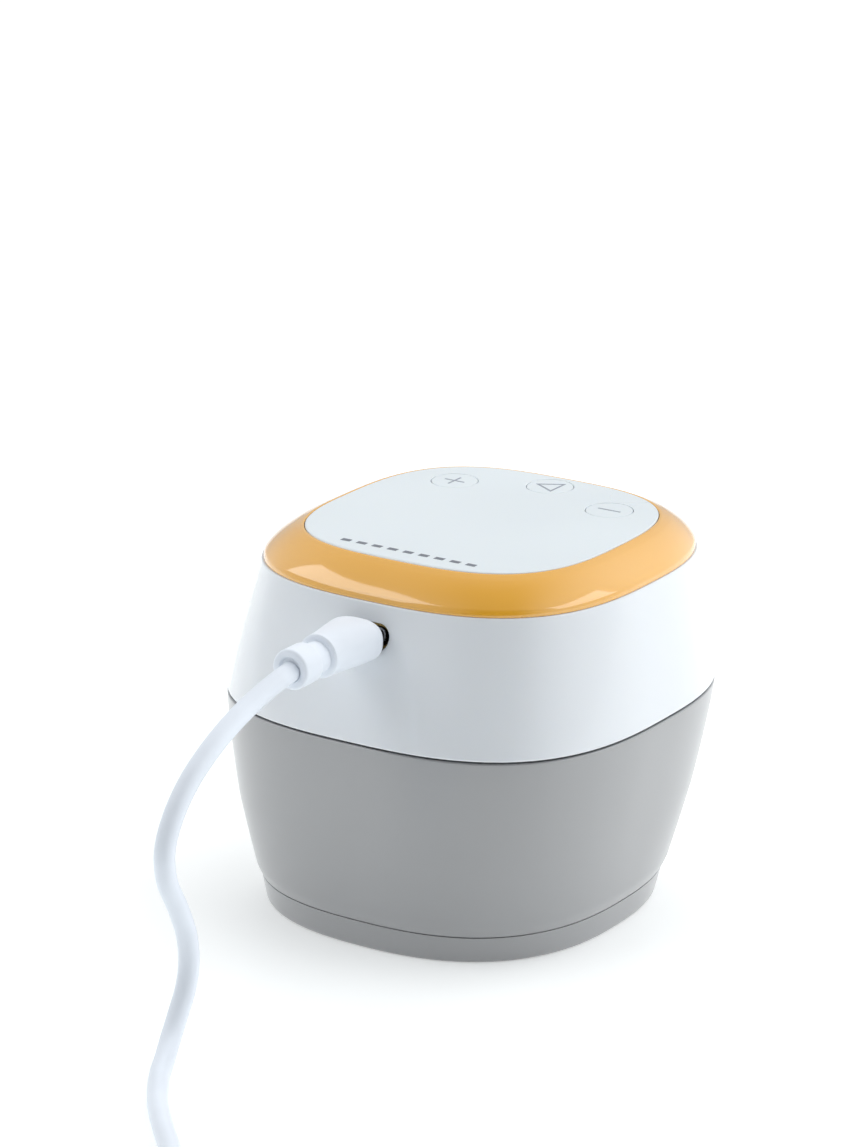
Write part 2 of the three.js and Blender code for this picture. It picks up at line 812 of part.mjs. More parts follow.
function valveSpring() {
  const points = [];
  for (let i = 0; i <= SPRING_TURNS * 8; i++) {
    const a = (i / 8) * Math.PI * 2;
    const rise = i / (SPRING_TURNS * 8);
    const z = SPRING_Z[0] + 0.2 + rise * (SPRING_Z[1] - SPRING_Z[0] - 0.4);
    points.push([VALVE_X + SPRING_R * Math.cos(a), VALVE_Y + SPRING_R * Math.sin(a), z]);
  }
  return swept(points, 0.2, 0, 2, SPRING_TURNS * 9);
}

// ---- Hoses --------------------------------------------------------------------------------
const HOSE_R = 1.9;
const HOSE_BORE = 1.3;

const VACUUM_ROUTE = [
  [NOZZLE_X, -0.9, NOZZLE_Z],
  [NOZZLE_X, 2.2, NOZZLE_Z],
  [10.4, 4.6, NOZZLE_Z],
  [14.0, 3.9, NOZZLE_Z],
  [17.4, 2.2, 47.7],
  [21.0, 1.3, PORT_Z],
  [25.0, NIPPLE_Y[0], PORT_Z],
];
const RELEASE_ROUTE = [
  [VALVE_X + 6.6, VALVE_Y, RELEASE_Z],
  [VALVE_X + 11, VALVE_Y, 41.6],
  [VALVE_X + 16, VALVE_Y - 1.4, 42.6],
  [14.6, 13.4, 45.0],
  [18.0, 8.8, 46.9],
  [21.4, 7.1, PORT_Z],
  [25.0, NIPPLE_Y[1], PORT_Z],
];

// ---- Control board ------------------------------------------------------------------------
function controlBoard() {
  const board = new THREE.Shape()
    .moveTo(-31, -8)
    .lineTo(-14, -29.5)
    .lineTo(14, -29.5)
    .lineTo(31, -8)
    .lineTo(31, 6)
    .lineTo(22, 18)
    .lineTo(8, 29)
    .lineTo(-8, 29)
    .lineTo(-22, 18)
    .lineTo(-31, 6);
  const plate = new THREE.ExtrudeGeometry(board, {
    depth: BOARD_Z[1] - BOARD_Z[0],
    bevelEnabled: false,
  }).translate(0, 0, BOARD_Z[0]);
  const notches = SCREW_SPOTS.map((at) => bar("z", BOSS_R + 0.4, [50, 60], at, 20));
  const holes = BOARD_POSTS.map((at) => bar("z", BOARD_SCREW_CLEARANCE_R, [50, 60], at, 16));
  return cut(plate, ...notches, ...holes);
}

function tactSwitch([x, y]) {
  const base = box([x - 2.1, x + 2.1], [y - 2.1, y + 2.1], [BOARD_Z[1] + 0.2, 58.0]);
  return join(base, bar("z", 1.2, [57.8, 58.6], [x, y], 16));
}

const BOARD_SCREW_R = 0.8;
const BOARD_SCREW_HEAD_Z = [53.1, 54.2];

function boardScrew([x, y]) {
  const [low, high] = BOARD_SCREW_HEAD_Z;
  return turned(
    "z",
    [
      [0, low],
      [1.7, low],
      [1.7, high],
      [BOARD_SCREW_R, high],
      [BOARD_SCREW_R, BOARD_SCREW_TIP_Z],
      [0, BOARD_SCREW_TIP_Z],
    ],
    [x, y],
    14,
  );
}

// ---- Charging socket, plug and lead -------------------------------------------------------
const SOCKET_Y = [28.4, 33.8];
const SHELL_HALF_WIDTH = 3.4; // the plug's metal shell
const SHELL_HALF_HEIGHT = 0.9;

function usbSocket() {
  const can = box([-4, 4], SOCKET_Y, [56.3, 59.0]);
  const mouth = box([-3.7, 3.7], [SOCKET_Y[0] + 0.6, PLUG_FRONT_Y], [56.55, 58.7]);
  const tongue = box([-1.8, 1.8], [SOCKET_Y[0], SOCKET_Y[1] - 0.8], [57.3, 57.8]);
  return join(cut(can, mouth), tongue);
}

function plugShell() {
  const [w, h] = [SHELL_HALF_WIDTH, SHELL_HALF_HEIGHT];
  const z = USB_Z + 0.2;
  const outer = box([-w, w], [29.4, PLUG_FRONT_Y - GAP], [z - h, z + h]);
  const inner = box([0.3 - w, w - 0.3], [28, PLUG_FRONT_Y - 1], [z - h + 0.3, z + h - 0.3]);
  return cut(outer, inner);
}

// The plug's moulded body: flat and wide at the port, round at its rear.
function plugOvermold() {
  const rings = 6;
  const points = [[0, PLUG_FRONT_Y]];
  for (let i = 0; i <= rings; i++) {
    const along = i / rings;
    points.push([1, PLUG_FRONT_Y + along * (PLUG_REAR_Y - PLUG_FRONT_Y)]);
  }
  const end = COLLAR_Y[0] - GAP;
  points.push([PLUG_NECK, PLUG_REAR_Y + 0.01], [PLUG_NECK, end], [0, end]);
  const geometry = turned("y", points, [0, 0], 24);
  const spots = geometry.attributes.position;
  for (let i = 0; i < spots.count; i++) {
    const y = spots.getY(i);
    const along = Math.min(1, (y - PLUG_FRONT_Y) / (PLUG_REAR_Y - PLUG_FRONT_Y));
    const ease = along * along * (3 - 2 * along);
    const nose = 1 - 0.16 * (1 - Math.min(1, along / 0.22)) ** 2;
    const [wide, tall] = PLUG_FRONT_HALF.map((half) => (half + (PLUG_REAR_R - half) * ease) * nose);
    spots.setX(i, spots.getX(i) * wide);
    spots.setZ(i, spots.getZ(i) * tall + USB_Z);
  }
  return geometry;
}

function collar(axis, [a, b], centre) {
  return turned(
    axis,
    [
      [0, a],
      [COLLAR_R - 0.5, a],
      [COLLAR_R, a + 0.6],
      [COLLAR_R, b - 0.8],
      [COLLAR_R - 0.8, b],
      [0, b],
    ],
    centre,
  );
}

function cordCoil() {
  const edge = 1.2;
  return turned(
    "z",
    [
      [COIL_INNER + edge, 0.05],
      [COIL_OUTER - edge, 0.05],
      [COIL_OUTER, edge],
      [COIL_OUTER, COIL_HEIGHT - edge],
      [COIL_OUTER - edge, COIL_HEIGHT],
      [COIL_INNER + edge, COIL_HEIGHT],
      [COIL_INNER, COIL_HEIGHT - edge],
      [COIL_INNER, edge],
    ],
    COIL_CENTRE,
    36,
  );
}

function roundedBlock([x0, x1], [hw, hh], [y, z], r) {
  const outline = new THREE.Shape()
    .moveTo(-hw + r, -hh)
    .lineTo(hw - r, -hh)
    .absarc(hw - r, -hh + r, r, -Math.PI / 2, 0)
    .lineTo(hw, hh - r)
    .absarc(hw - r, hh - r, r, 0, Math.PI / 2)
    .lineTo(-hw + r, hh)
    .absarc(-hw + r, hh - r, r, Math.PI / 2, Math.PI)
    .lineTo(-hw, -hh + r)
    .absarc(-hw + r, -hh + r, r, Math.PI, (3 * Math.PI) / 2);
  const block = new THREE.ExtrudeGeometry(outline, {
    depth: x1 - x0,
    bevelEnabled: false,
    curveSegments: 5,
  });
  // The outline lies in Y and Z, and the depth runs along X.
  return block.rotateX(Math.PI / 2).rotateZ(Math.PI / 2).translate(x0, y, z);
}

const CHARGER_AXIS = [TAIL_ROUTE[0][1], CHARGER_Z];
const GRIP_X = [CHARGER_X + 5, CHARGER_X + 26];

function chargerShell() {
  const end = GRIP_X[1];
  const outer = roundedBlock([end + GAP, end + 12], [6, 2.25], CHARGER_AXIS, 0.5);
  const inner = roundedBlock([end + 1.5, end + 13], [5.6, 1.85], CHARGER_AXIS, 0.3);
  return cut(outer, inner);
}

// ---- Assembly -----------------------------------------------------------------------------
add("foot_ring", footRing(), GREY, 0.75);
add("base_cover", baseCover(), GREY, 0.6);
add("lower_housing", lowerHousing(), GREY, 0.55);
add("seam_gasket", seamGasket(), RUBBER, 0.8);
add("upper_housing", upperHousing(), WHITE, 0.2);
add("trim_ring", trimRing(), ORANGE, 0.2);
add("face_panel", facePanel(), WHITE, 0.3);
for (const [name, x, y] of KEYS) {
  add("key_" + name, key([x, y]), WHITE, 0.35);
  add("switch_" + name, tactSwitch([x, y]), DARK, 0.5);
}
SCREW_SPOTS.forEach((at, i) => add("case_screw_" + (i + 1), caseScrew(at), STEEL, 0.35, 1));

add("tube_port", tubePort(), WHITE, 0.4);
add("chassis", chassis(), NATURAL, 0.6);
add("battery", battery(), BLUE, 0.4);

add("motor_can", motorCan(), STEEL, 0.35, 1);
add("motor_bell", motorBell(), DARK, 0.5);
add("motor_magnets", sleeve("x", [8.6, 10.9], MAGNET_X, MOTOR_AXIS, 24), DARK, 0.6);
add("motor_damper", sleeve("x", [MOTOR_R + GAP, DAMPER_R], DAMPER_X, MOTOR_AXIS, 28), RUBBER, 0.8);
add("rotor_core", sleeve("x", [1.1, 7.9], MAGNET_X, MOTOR_AXIS, 24), COPPER, 0.45, 0.6);
add("motor_shaft", bar("x", 1.0, [MOTOR_X[0] - 1.3, CRANK_X[1] + 1], MOTOR_AXIS, 16), STEEL, 0.25, 1);
add("eccentric", eccentric(), BRASS, 0.35, 1);
add("crank_bearing", sleeve("x", [PIN_R + 0.06, 4.5], CRANK_X, crankPin()), STEEL, 0.25, 1);
add("connecting_rod", connectingRod(), NATURAL, 0.5);

add("crankcase", crankcase(), DARK, 0.55);
add("diaphragm", diaphragm(), RUBBER, 0.8);
add("diaphragm_disc", sleeve("z", [0.95, 4], [39.5, 40.7], PUMP_AXIS), STEEL, 0.35, 1);
add("diaphragm_screw", diaphragmScrew(), STEEL, 0.35, 1);
add("chamber_ring", chamberRing(), DARK, 0.5);
add("valve_plate", valvePlate(), NATURAL, 0.5);
add("inlet_flap", flap(PUMP_X - FLAP_X), RUBBER, 0.8);
add("outlet_flap", flap(PUMP_X + FLAP_X), RUBBER, 0.8);
add("pump_head", pumpHead(), DARK, 0.5);
headScrewSpots().forEach((at, i) => add("head_screw_" + (i + 1), headScrew(at), STEEL, 0.35, 1));

add("valve_frame", valveFrame(), STEEL, 0.4, 1);
add("valve_coil", sleeve("z", [2.0, 3.6], [PLUNGER_Z, 37.2], VALVE_AXIS), COPPER, 0.4, 0.8);
add("valve_plunger", valvePlunger(), STEEL, 0.3, 1);
add("valve_spring", valveSpring(), STEEL, 0.3, 1);
add("vacuum_hose", swept(VACUUM_ROUTE, HOSE_R, HOSE_BORE, 4, 16), NATURAL, 0.4);
add("release_hose", swept(RELEASE_ROUTE, HOSE_R, HOSE_BORE, 4, 18), NATURAL, 0.4);

add("control_board", controlBoard(), GREEN, 0.5);
add("controller_chip", box([-5, 5], [-5, 5], [56.2, 57.6]), DARK, 0.5);
BOARD_POSTS.forEach((at, i) => add("board_screw_" + (i + 1), boardScrew(at), STEEL, 0.35, 1));

add("usb_socket", usbSocket(), STEEL, 0.35, 1);
add("plug_shell", plugShell(), STEEL, 0.3, 1);
add("plug_overmold", plugOvermold(), CORD_WHITE, 0.45);
add("plug_collar", collar("y", COLLAR_Y, [0, USB_Z]), CORD_WHITE, 0.45);
add("cord_tube", swept(CORD_ROUTE, CORD_R, 0, 4, 30), CORD_WHITE, 0.5);
add("cord_coil", cordCoil(), CORD_WHITE, 0.5);
add("cord_tail", swept(TAIL_ROUTE, CORD_R, 0, 4, 3), CORD_WHITE, 0.5);
add("charger_collar", collar("x", [CHARGER_X, GRIP_X[0] - GAP], CHARGER_AXIS), CORD_WHITE, 0.45);
add("charger_grip", roundedBlock(GRIP_X, [7.6, 4.1], CHARGER_AXIS, 2), CORD_WHITE, 0.45);
add("charger_shell", chargerShell(), STEEL, 0.3, 1);

export default unit;
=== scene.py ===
"""Looks of the breast pump motor unit: shells, keys, ports, lead, materials and studio."""

import json
import math

import bmesh
import bpy
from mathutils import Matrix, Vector


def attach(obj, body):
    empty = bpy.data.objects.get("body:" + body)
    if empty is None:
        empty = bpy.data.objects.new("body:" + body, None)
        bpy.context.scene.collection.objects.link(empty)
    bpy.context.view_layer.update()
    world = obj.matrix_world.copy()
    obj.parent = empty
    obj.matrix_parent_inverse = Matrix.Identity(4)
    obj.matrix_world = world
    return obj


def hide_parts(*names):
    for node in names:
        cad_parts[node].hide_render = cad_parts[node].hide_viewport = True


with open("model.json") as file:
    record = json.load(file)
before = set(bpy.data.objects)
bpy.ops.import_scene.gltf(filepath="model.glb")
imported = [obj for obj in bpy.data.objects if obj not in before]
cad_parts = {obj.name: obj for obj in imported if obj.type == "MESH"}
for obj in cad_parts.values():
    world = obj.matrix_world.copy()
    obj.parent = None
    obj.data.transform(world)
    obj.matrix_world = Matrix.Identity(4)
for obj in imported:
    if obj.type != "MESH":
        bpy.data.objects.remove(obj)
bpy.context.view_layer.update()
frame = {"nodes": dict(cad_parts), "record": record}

MM = 0.001
NODES = frame["nodes"]

# ---- Dimensions, in millimetres, as in the part's source ----------------------------------
WALL = 2.0
FOOT_Z = 5.0
SEAM_Z = 39.1
SHOULDER_Z = 62.8
FACE_Z = 68.5
BASE_HALF = 33.2
FOOT_HALF = 34.0
SEAM_HALF = 40.0
SHOULDER_HALF = 35.5
FACE_HALF = 28.3
LOWER_POWER = 1.26
UPPER_POWER = 1.19
KEYS = {"plus": (16.5, -19.5), "minus": (-16.5, -19.5), "play": (0.0, -26.0)}
SCREW_SPOTS = [(21.5, 22.5), (-21.5, 22.5), (-24.5, -14.0), (24.5, -14.0)]
USB_Z = 57.4
USB_WIDTH = 10.4
USB_HEIGHT = 4.5
PLUG_FRONT_Y = 36.0
PLUG_REAR_Y = 48.6
COLLAR_Y = (51.6, 56.8)
PORT_Y = 4.0
PORT_Z = 47.5
PORT_BORE_R = 4.2
PORT_R = 5.5
PORT_MOUTH_X = 39.6
CORD_R = 1.8
COIL_CENTRE = (-12.0, 184.0)
CHARGER_X = 13.3
CHARGER_Y = 210.2
CHARGER_Z = 4.2

# ---- Finer dimensions of the shown pieces, in millimetres ---------------------------------
CASING_SEGMENTS = 240  # points round the casing in plan
PRINT_THICK = 0.03
PRINT_SUNK = 0.05
KEY_GAP_R = 4.38
CAP_R = 4.27
LINE = 0.38
EDGE_R = 0.3  # rounding of the casings' edges at the seam
SCREW_POST_R = 2.6
NIPPLE_Y = (1.2, 6.8)
PORT_SLOPE = -0.326  # how far the rear wall leans in for each unit of height at the port
TUBE_SLOPE = -0.185  # the same for the side wall at the tube socket
EASED_EDGE = ((-9.0, 0.0), (-0.3, 0.0), (-0.1, 0.08), (0.06, 0.25), (3.0, 3.2))
PLUG_FRONT = (5.5, 3.8)
PLUG_REAR_R = 3.9
PLUG_POWERS = (2.65, 2.0)
REAR_EDGE = ((0.25, 0.985), (0.1, 0.94), (0.0, 0.86), (0.0, 0.76))
COLLAR_R = 3.6
PATH_STEP = 1.2
THREAD_PITCH = 0.7
SHANK_R = 0.85
COLLAR_BACK = 0.5  # depth of the dish round the cord in the collar

# The ties and the coil
TIE_ANGLES = (math.radians(-60), math.radians(150))
TIE_LIFT = 0.5
TIE_THICK = 0.4
TIE_WIDTH = 4.0
TIE_SPAN = (13.6, 28.0)
LAYER_Z = (1.8, 5.5)
TURNS = 3
POINTS_PER_TURN = 48
COIL_RADII = (26.2, 15.4, 14.9)

# The lead's free route from the plug's collar to the coil
CORD_ROUTE = [
    (0, 57.1, 57.0),
    (0, 62.0, 56.2),
    (0, 68.3, 54.7),
    (0, 74.5, 52.6),
    (0, 80.5, 49.8),
    (0, 86.0, 46.2),
    (0, 90.3, 41.6),
    (0, 92.6, 36.6),
    (0, 92.2, 31.4),
    (0, 89.4, 25.8),
    (0, 87.1, 20.2),
    (0, 86.5, 15.2),
    (0, 87.6, 10.6),
    (0, 89.9, 6.6),
    (-0.6, 92.8, 3.6),
    (-2.6, 97.2, 2.0),
    (-5.3, 102.2, 1.8),
    (-8.6, 107.1, 1.8),
    (-12.2, 111.9, 1.8),
    (-17.4, 117.6, 1.8),
    (-22.7, 123.0, 1.8),
    (-28.0, 128.9, 1.8),
    (-32.4, 136.0, 1.8),
    (-35.6, 144.0, 1.8),
    (-37.6, 152.5, 1.8),
    (-38.2, 161.0, 1.8),
    (-38.2, 169.0, 1.8),
]
# The points that join it to the coil, and the short tail from the coil to the far plug
INTO_COIL = [(-38.2, 177.0, 1.8), (-38.2, 183.9, 1.8)]
OUT_OF_COIL = (-7.5, 210.2, 5.5)
TAIL_ROUTE = [(3.0, 210.2, 5.5), (6.0, 210.2, 5.2), (10.0, 210.2, 4.4)]


# ---- Camera ------------------------------------------------------------------------------
def add_camera():
    """Level camera behind and to the left of the unit, looking down at it."""
    data = bpy.data.cameras.new("camera")
    data.lens = 138.7
    data.clip_start = 0.05
    data.clip_end = 20
    camera = bpy.data.objects.new("camera", data)
    camera.location = Vector((-404.1, 629.0, 304.7)) * MM
    azimuth, elevation = math.radians(33.3), math.radians(18.2)
    back = Vector(
        (
            -math.sin(azimuth) * math.cos(elevation),
            math.cos(azimuth) * math.cos(elevation),
            math.sin(elevation),
        )
    )
    camera.rotation_euler = back.to_track_quat("Z", "Y").to_euler()
    bpy.context.collection.objects.link(camera)
    bpy.context.scene.camera = camera


# ---- Mesh helpers ------------------------------------------------------------------------
MOST_CORNERS = 30  # a face with more is a flat end, and is shaded flat


def new_object(name, mesh, material, sharp=32):
    """Link a mesh as a smooth-shaded object whose creases over `sharp` degrees stay sharp."""
    mesh.materials.clear()
    mesh.materials.append(material)
    mesh.shade_smooth()
    mesh.set_sharp_from_angle(angle=math.radians(sharp))
    for face in mesh.polygons:
        if len(face.vertices) > MOST_CORNERS:
            face.use_smooth = False
    piece = bpy.data.objects.new(name, mesh)
    bpy.context.collection.objects.link(piece)
    weighted = piece.modifiers.new("weighted", "WEIGHTED_NORMAL")
    weighted.keep_sharp = True
    return piece


def rounded(corners, steps=5):
    """A closed outline from (u, v, radius) corners, each corner an arc."""
    points = []
    for i, (u, v, radius) in enumerate(corners):
        here = Vector((u, v))
        before = Vector(corners[i - 1][:2]) - here
        after = Vector(corners[(i + 1) % len(corners)][:2]) - here
        if radius <= 0:
            points.append((u, v))
            continue
        bend = before.angle(after)
        reach = min(radius / math.tan(bend / 2), 0.49 * before.length, 0.49 * after.length)
        start = here + before.normalized() * reach
        end = here + after.normalized() * reach
        for k in range(steps + 1):
            t = k / steps
            spot = start * (1 - t) ** 2 + here * 2 * t * (1 - t) + end * t**2
            points.append((spot.x, spot.y))
    return points


def bridge(bm, loops):
    """Faces between each loop of vertices and the next."""
    for near, far in zip(loops, loops[1:]):
        for i in range(len(near)):
            j = (i + 1) % len(near)
            bm.faces.new((near[i], near[j], far[j], far[i]))


def finished_mesh(name, bm):
    """The mesh of a closed bmesh, its normals facing out."""
    bmesh.ops.recalc_face_normals(bm, faces=bm.faces)
    mesh = bpy.data.meshes.new(name)
    bm.to_mesh(mesh)
    bm.free()
    return mesh


def ring_mesh(name, rings):
    """A closed surface through rings of points, joined around and from the last to the first."""
    bm = bmesh.new()
    loops = [[bm.verts.new(Vector(p) * MM) for p in ring] for ring in rings]
    bridge(bm, loops + loops[:1])
    bmesh.ops.remove_doubles(bm, verts=bm.verts, dist=1e-7)
    return finished_mesh(name, bm)


def capped_mesh(name, rings):
    """A closed surface through rings of points, with its two ends filled."""
    bm = bmesh.new()
    loops = [[bm.verts.new(Vector(p) * MM) for p in ring] for ring in rings]
    bridge(bm, loops)
    bm.faces.new(loops[0])
    bm.faces.new(loops[-1])
    return finished_mesh(name, bm)


def lay(axis, along, across, up):
    """A point from its place along an axis and the other two coordinates, in order."""
    if axis == "x":
        return (along, across, up)
    if axis == "y":
        return (across, along, up)
    return (across, up, along)


def turned(name, axis, outline, centre, segments=64):
    """A closed (radius, along) outline turned about an axis through centre."""
    rings = []
    for radius, along in outline:
        ring = []
        for i in range(segments):
            a = math.tau * i / segments
            across = centre[0] + radius * math.cos(a)
            up = centre[1] + radius * math.sin(a)
            ring.append(lay(axis, along, across, up))
        rings.append(ring)
    return ring_mesh(name, rings)


def round_rect(width, height, radius, steps=6):
    """Points of a rounded rectangle about the origin."""
    points = []
    for k, (sx, sy) in enumerate(((1, 1), (-1, 1), (-1, -1), (1, -1))):
        centre = Vector((sx * (width / 2 - radius), sy * (height / 2 - radius)))
        for i in range(steps + 1):
            a = math.pi / 2 * (k + i / steps)
            points.append((centre.x + radius * math.cos(a), centre.y + radius * math.sin(a)))
    return points


def extruded(name, axis, outlines, centre):
    """A solid through (along, outline) sections, each outline points about centre."""
    rings = [
        [lay(axis, along, centre[0] + u, centre[1] + v) for u, v in outline]
        for along, outline in outlines
    ]
    return capped_mesh(name, rings)


def boolean(mesh, cutters, operation="DIFFERENCE"):
    """The mesh with each cutter mesh cut from it or joined to it."""
    body = bpy.data.objects.new("body", mesh)
    bpy.context.collection.objects.link(body)
    for cutter_mesh in cutters:
        cutter = bpy.data.objects.new("cutter", cutter_mesh)
        bpy.context.collection.objects.link(cutter)
        modifier = body.modifiers.new("cut", "BOOLEAN")
        modifier.operation = operation
        modifier.solver = "EXACT"
        modifier.object = cutter
    depsgraph = bpy.context.evaluated_depsgraph_get()
    result = bpy.data.meshes.new_from_object(body.evaluated_get(depsgraph))
    for modifier in list(body.modifiers):
        bpy.data.objects.remove(modifier.object)
    bpy.data.objects.remove(body)
    return result


# ---- The casing's form -------------------------------------------------------------------
def half_at(z):
    """Half width of the casing at a height."""
    if z <= FOOT_Z:
        return BASE_HALF + (FOOT_HALF - BASE_HALF) * z / FOOT_Z
    if z <= SEAM_Z:
        down = (SEAM_Z - z) / (SEAM_Z - FOOT_Z)
        return SEAM_HALF - (SEAM_HALF - FOOT_HALF - 0.4) * down**LOWER_POWER
    if z <= SHOULDER_Z:
        up = (z - SEAM_Z) / (SHOULDER_Z - SEAM_Z)
        return SEAM_HALF - (SEAM_HALF - SHOULDER_HALF) * up**UPPER_POWER
    over = min(1.0, (z - SHOULDER_Z) / (FACE_Z - SHOULDER_Z))
    return FACE_HALF + (SHOULDER_HALF - FACE_HALF) * (1 - over**1.5) ** 0.77


def lean_at(z):
    """How far the casing's centre lies along +Y at a height."""
    up = z - SEAM_Z
    return -0.1 * up - 0.0003 * up * up


def squareness_at(z):
    """Exponent of the rounded square in plan."""
    return 2.45 + 0.35 * min(1, z / 20) + 0.2 * max(0, (z - SHOULDER_Z) / 5.7)


def plan_ring(half, z, segments):
    """The rounded square of that half width at a height."""
    n = squareness_at(z)
    ring = []
    for i in range(segments):
        a = math.tau * i / segments
        c, s = math.cos(a), math.sin(a)
        stretch = half * (abs(c) ** n + abs(s) ** n) ** (-1 / n)
        ring.append((c * stretch, s * stretch + lean_at(z), z))
    return ring


def casing(name, outline, segments=CASING_SEGMENTS):
    """A closed (half width, z) outline taken round the casing."""
    return ring_mesh(name, [plan_ring(half, z, segments) for half, z in outline])


def side(z0, z1, inset, steps):
    """The casing's side from z0 to z1, inset from its outer face."""
    heights = [z0 + (z1 - z0) * i / steps for i in range(steps + 1)]
    return [(half_at(z) - inset, z) for z in heights]


# ---- Materials ---------------------------------------------------------------------------
class Paint:
    """A Principled material with helpers for its procedural nodes."""

    def __init__(self, name):
        self.material = bpy.data.materials.new(name)
        self.material.use_nodes = True
        self.tree = self.material.node_tree
        self.shader = self.tree.nodes["Principled BSDF"]
        self.coords = self.node("ShaderNodeTexCoord").outputs["Object"]

    def node(self, kind, **settings):
        made = self.tree.nodes.new(kind)
        for key, value in settings.items():
            setattr(made, key, value)
        return made

    def link(self, source, target):
        self.tree.links.new(source, target)

    def set(self, **sockets):
        for key, value in sockets.items():
            self.shader.inputs[key.replace("_", " ")].default_value = value

    def noise(self, scale, detail=3.0, roughness=0.5, stretch=(1, 1, 1)):
        mapping = self.node("ShaderNodeMapping")
        mapping.inputs["Scale"].default_value = stretch
        self.link(self.coords, mapping.inputs["Vector"])
        texture = self.node("ShaderNodeTexNoise")
        texture.inputs["Scale"].default_value = scale
        texture.inputs["Detail"].default_value = detail
        texture.inputs["Roughness"].default_value = roughness
        self.link(mapping.outputs["Vector"], texture.inputs["Vector"])
        return texture.outputs["Fac"]

    def between(self, fac, low, high):
        """A value that runs from low to high as fac runs over the noise's usual spread."""
        spread = self.node("ShaderNodeMapRange")
        spread.inputs["From Min"].default_value = 0.3
        spread.inputs["From Max"].default_value = 0.7
        spread.inputs["To Min"].default_value = low
        spread.inputs["To Max"].default_value = high
        self.link(fac, spread.inputs["Value"])
        return spread.outputs["Result"]

    def blend(self, fac, low, high):
        """A colour that runs from low to high with fac."""
        ramp = self.node("ShaderNodeValToRGB")
        ramp.color_ramp.elements[0].position = 0.3
        ramp.color_ramp.elements[1].position = 0.7
        ramp.color_ramp.elements[0].color = (*low, 1)
        ramp.color_ramp.elements[1].color = (*high, 1)
        self.link(fac, ramp.inputs["Fac"])
        return ramp.outputs["Color"]

    def colour(self, fac, low, high):
        self.link(self.blend(fac, low, high), self.shader.inputs["Base Color"])

    def rough(self, fac, low, high):
        self.link(self.between(fac, low, high), self.shader.inputs["Roughness"])

    def bump(self, height, depth_mm, strength=1.0):
        bump = self.node("ShaderNodeBump")
        bump.inputs["Distance"].default_value = depth_mm * MM
        bump.inputs["Strength"].default_value = strength
        self.link(height, bump.inputs["Height"])
        self.link(bump.outputs["Normal"], self.shader.inputs["Normal"])


def linear(r, g, b):
    """A linear colour from 0 to 255 screen values."""
    return tuple(
        c / 255 / 12.92 if c <= 10 else ((c / 255 + 0.055) / 1.055) ** 2.4 for c in (r, g, b)
    )


def shade(colour, factor):
    return tuple(min(1.0, c * factor) for c in colour)


def moulded(
    name, colour, roughness, grain_mm=0.0, coat=0.0, vary=0.03, coat_roughness=0.06, coat_ior=1.5
):
    """Injection-moulded plastic: slight flow mottling, uneven gloss, optional spark grain."""
    paint = Paint(name)
    flow = paint.noise(35, 0, 0.5, (1, 1, 0.5))
    paint.colour(flow, shade(colour, 1 - vary), shade(colour, 1 + vary))
    paint.rough(paint.noise(45, 0), roughness * 0.88, roughness * 1.12)
    paint.set(Subsurface_Weight=0.06, Subsurface_Radius=(0.004, 0.003, 0.002))
    paint.set(Subsurface_Scale=0.3)
    if coat:
        paint.set(Coat_Weight=coat, Coat_Roughness=coat_roughness, Coat_IOR=coat_ior)
    if grain_mm:
        paint.bump(paint.noise(4200, 2, 0.55), grain_mm, 0.6)
    return paint.material


def metal(name, colour, roughness, stretch=(1, 1, 1), scale=900):
    """Drawn or turned metal with fine lines and faint clouding."""
    paint = Paint(name)
    paint.set(Metallic=1.0)
    lines = paint.noise(scale, 3, 0.6, stretch)
    cloud = paint.noise(120, 2)
    paint.colour(cloud, shade(colour, 0.92), shade(colour, 1.05))
    paint.rough(lines, roughness * 0.75, roughness * 1.3)
    paint.bump(lines, 0.004, 0.5)
    return paint.material


def elastomer(name, colour, roughness=0.7, sheen=0.2):
    """Rubber or soft vinyl: fine matte skin with a faint sheen."""
    paint = Paint(name)
    paint.colour(paint.noise(60, 3), shade(colour, 0.95), shade(colour, 1.04))
    paint.rough(paint.noise(300, 2), roughness * 0.9, roughness * 1.08)
    paint.set(Sheen_Weight=sheen, Sheen_Roughness=0.4, Specular_IOR_Level=0.4)
    paint.bump(paint.noise(2500, 2), 0.008, 0.5)
    return paint.material


def windings(name, colour):
    """Enamelled copper wire: close bands round the coil."""
    paint = Paint(name)
    paint.set(Metallic=0.85, Coat_Weight=0.6, Coat_Roughness=0.15)
    wave = paint.node("ShaderNodeTexWave", wave_type="BANDS", bands_direction="Z")
    wave.inputs["Scale"].default_value = 500
    wave.inputs["Distortion"].default_value = 0.6
    paint.link(paint.coords, wave.inputs["Vector"])
    paint.colour(wave.outputs["Fac"], shade(colour, 0.6), shade(colour, 1.1))
    paint.rough(wave.outputs["Fac"], 0.45, 0.3)
    paint.bump(wave.outputs["Fac"], 0.05)
    return paint.material


def circuit(name):
    """Green solder mask with fine tracks."""
    paint = Paint(name)
    brick = paint.node("ShaderNodeTexBrick")
    brick.inputs["Scale"].default_value = 260
    brick.inputs["Mortar Size"].default_value = 0.03
    brick.inputs["Color1"].default_value = (*linear(22, 84, 52), 1)
    brick.inputs["Color2"].default_value = (*linear(26, 96, 60), 1)
    brick.inputs["Mortar"].default_value = (*linear(52, 130, 82), 1)
    paint.link(paint.coords, brick.inputs["Vector"])
    paint.link(brick.outputs["Color"], paint.shader.inputs["Base Color"])
    paint.rough(paint.noise(400), 0.3, 0.42)
    paint.bump(brick.outputs["Fac"], 0.03)
    return paint.material


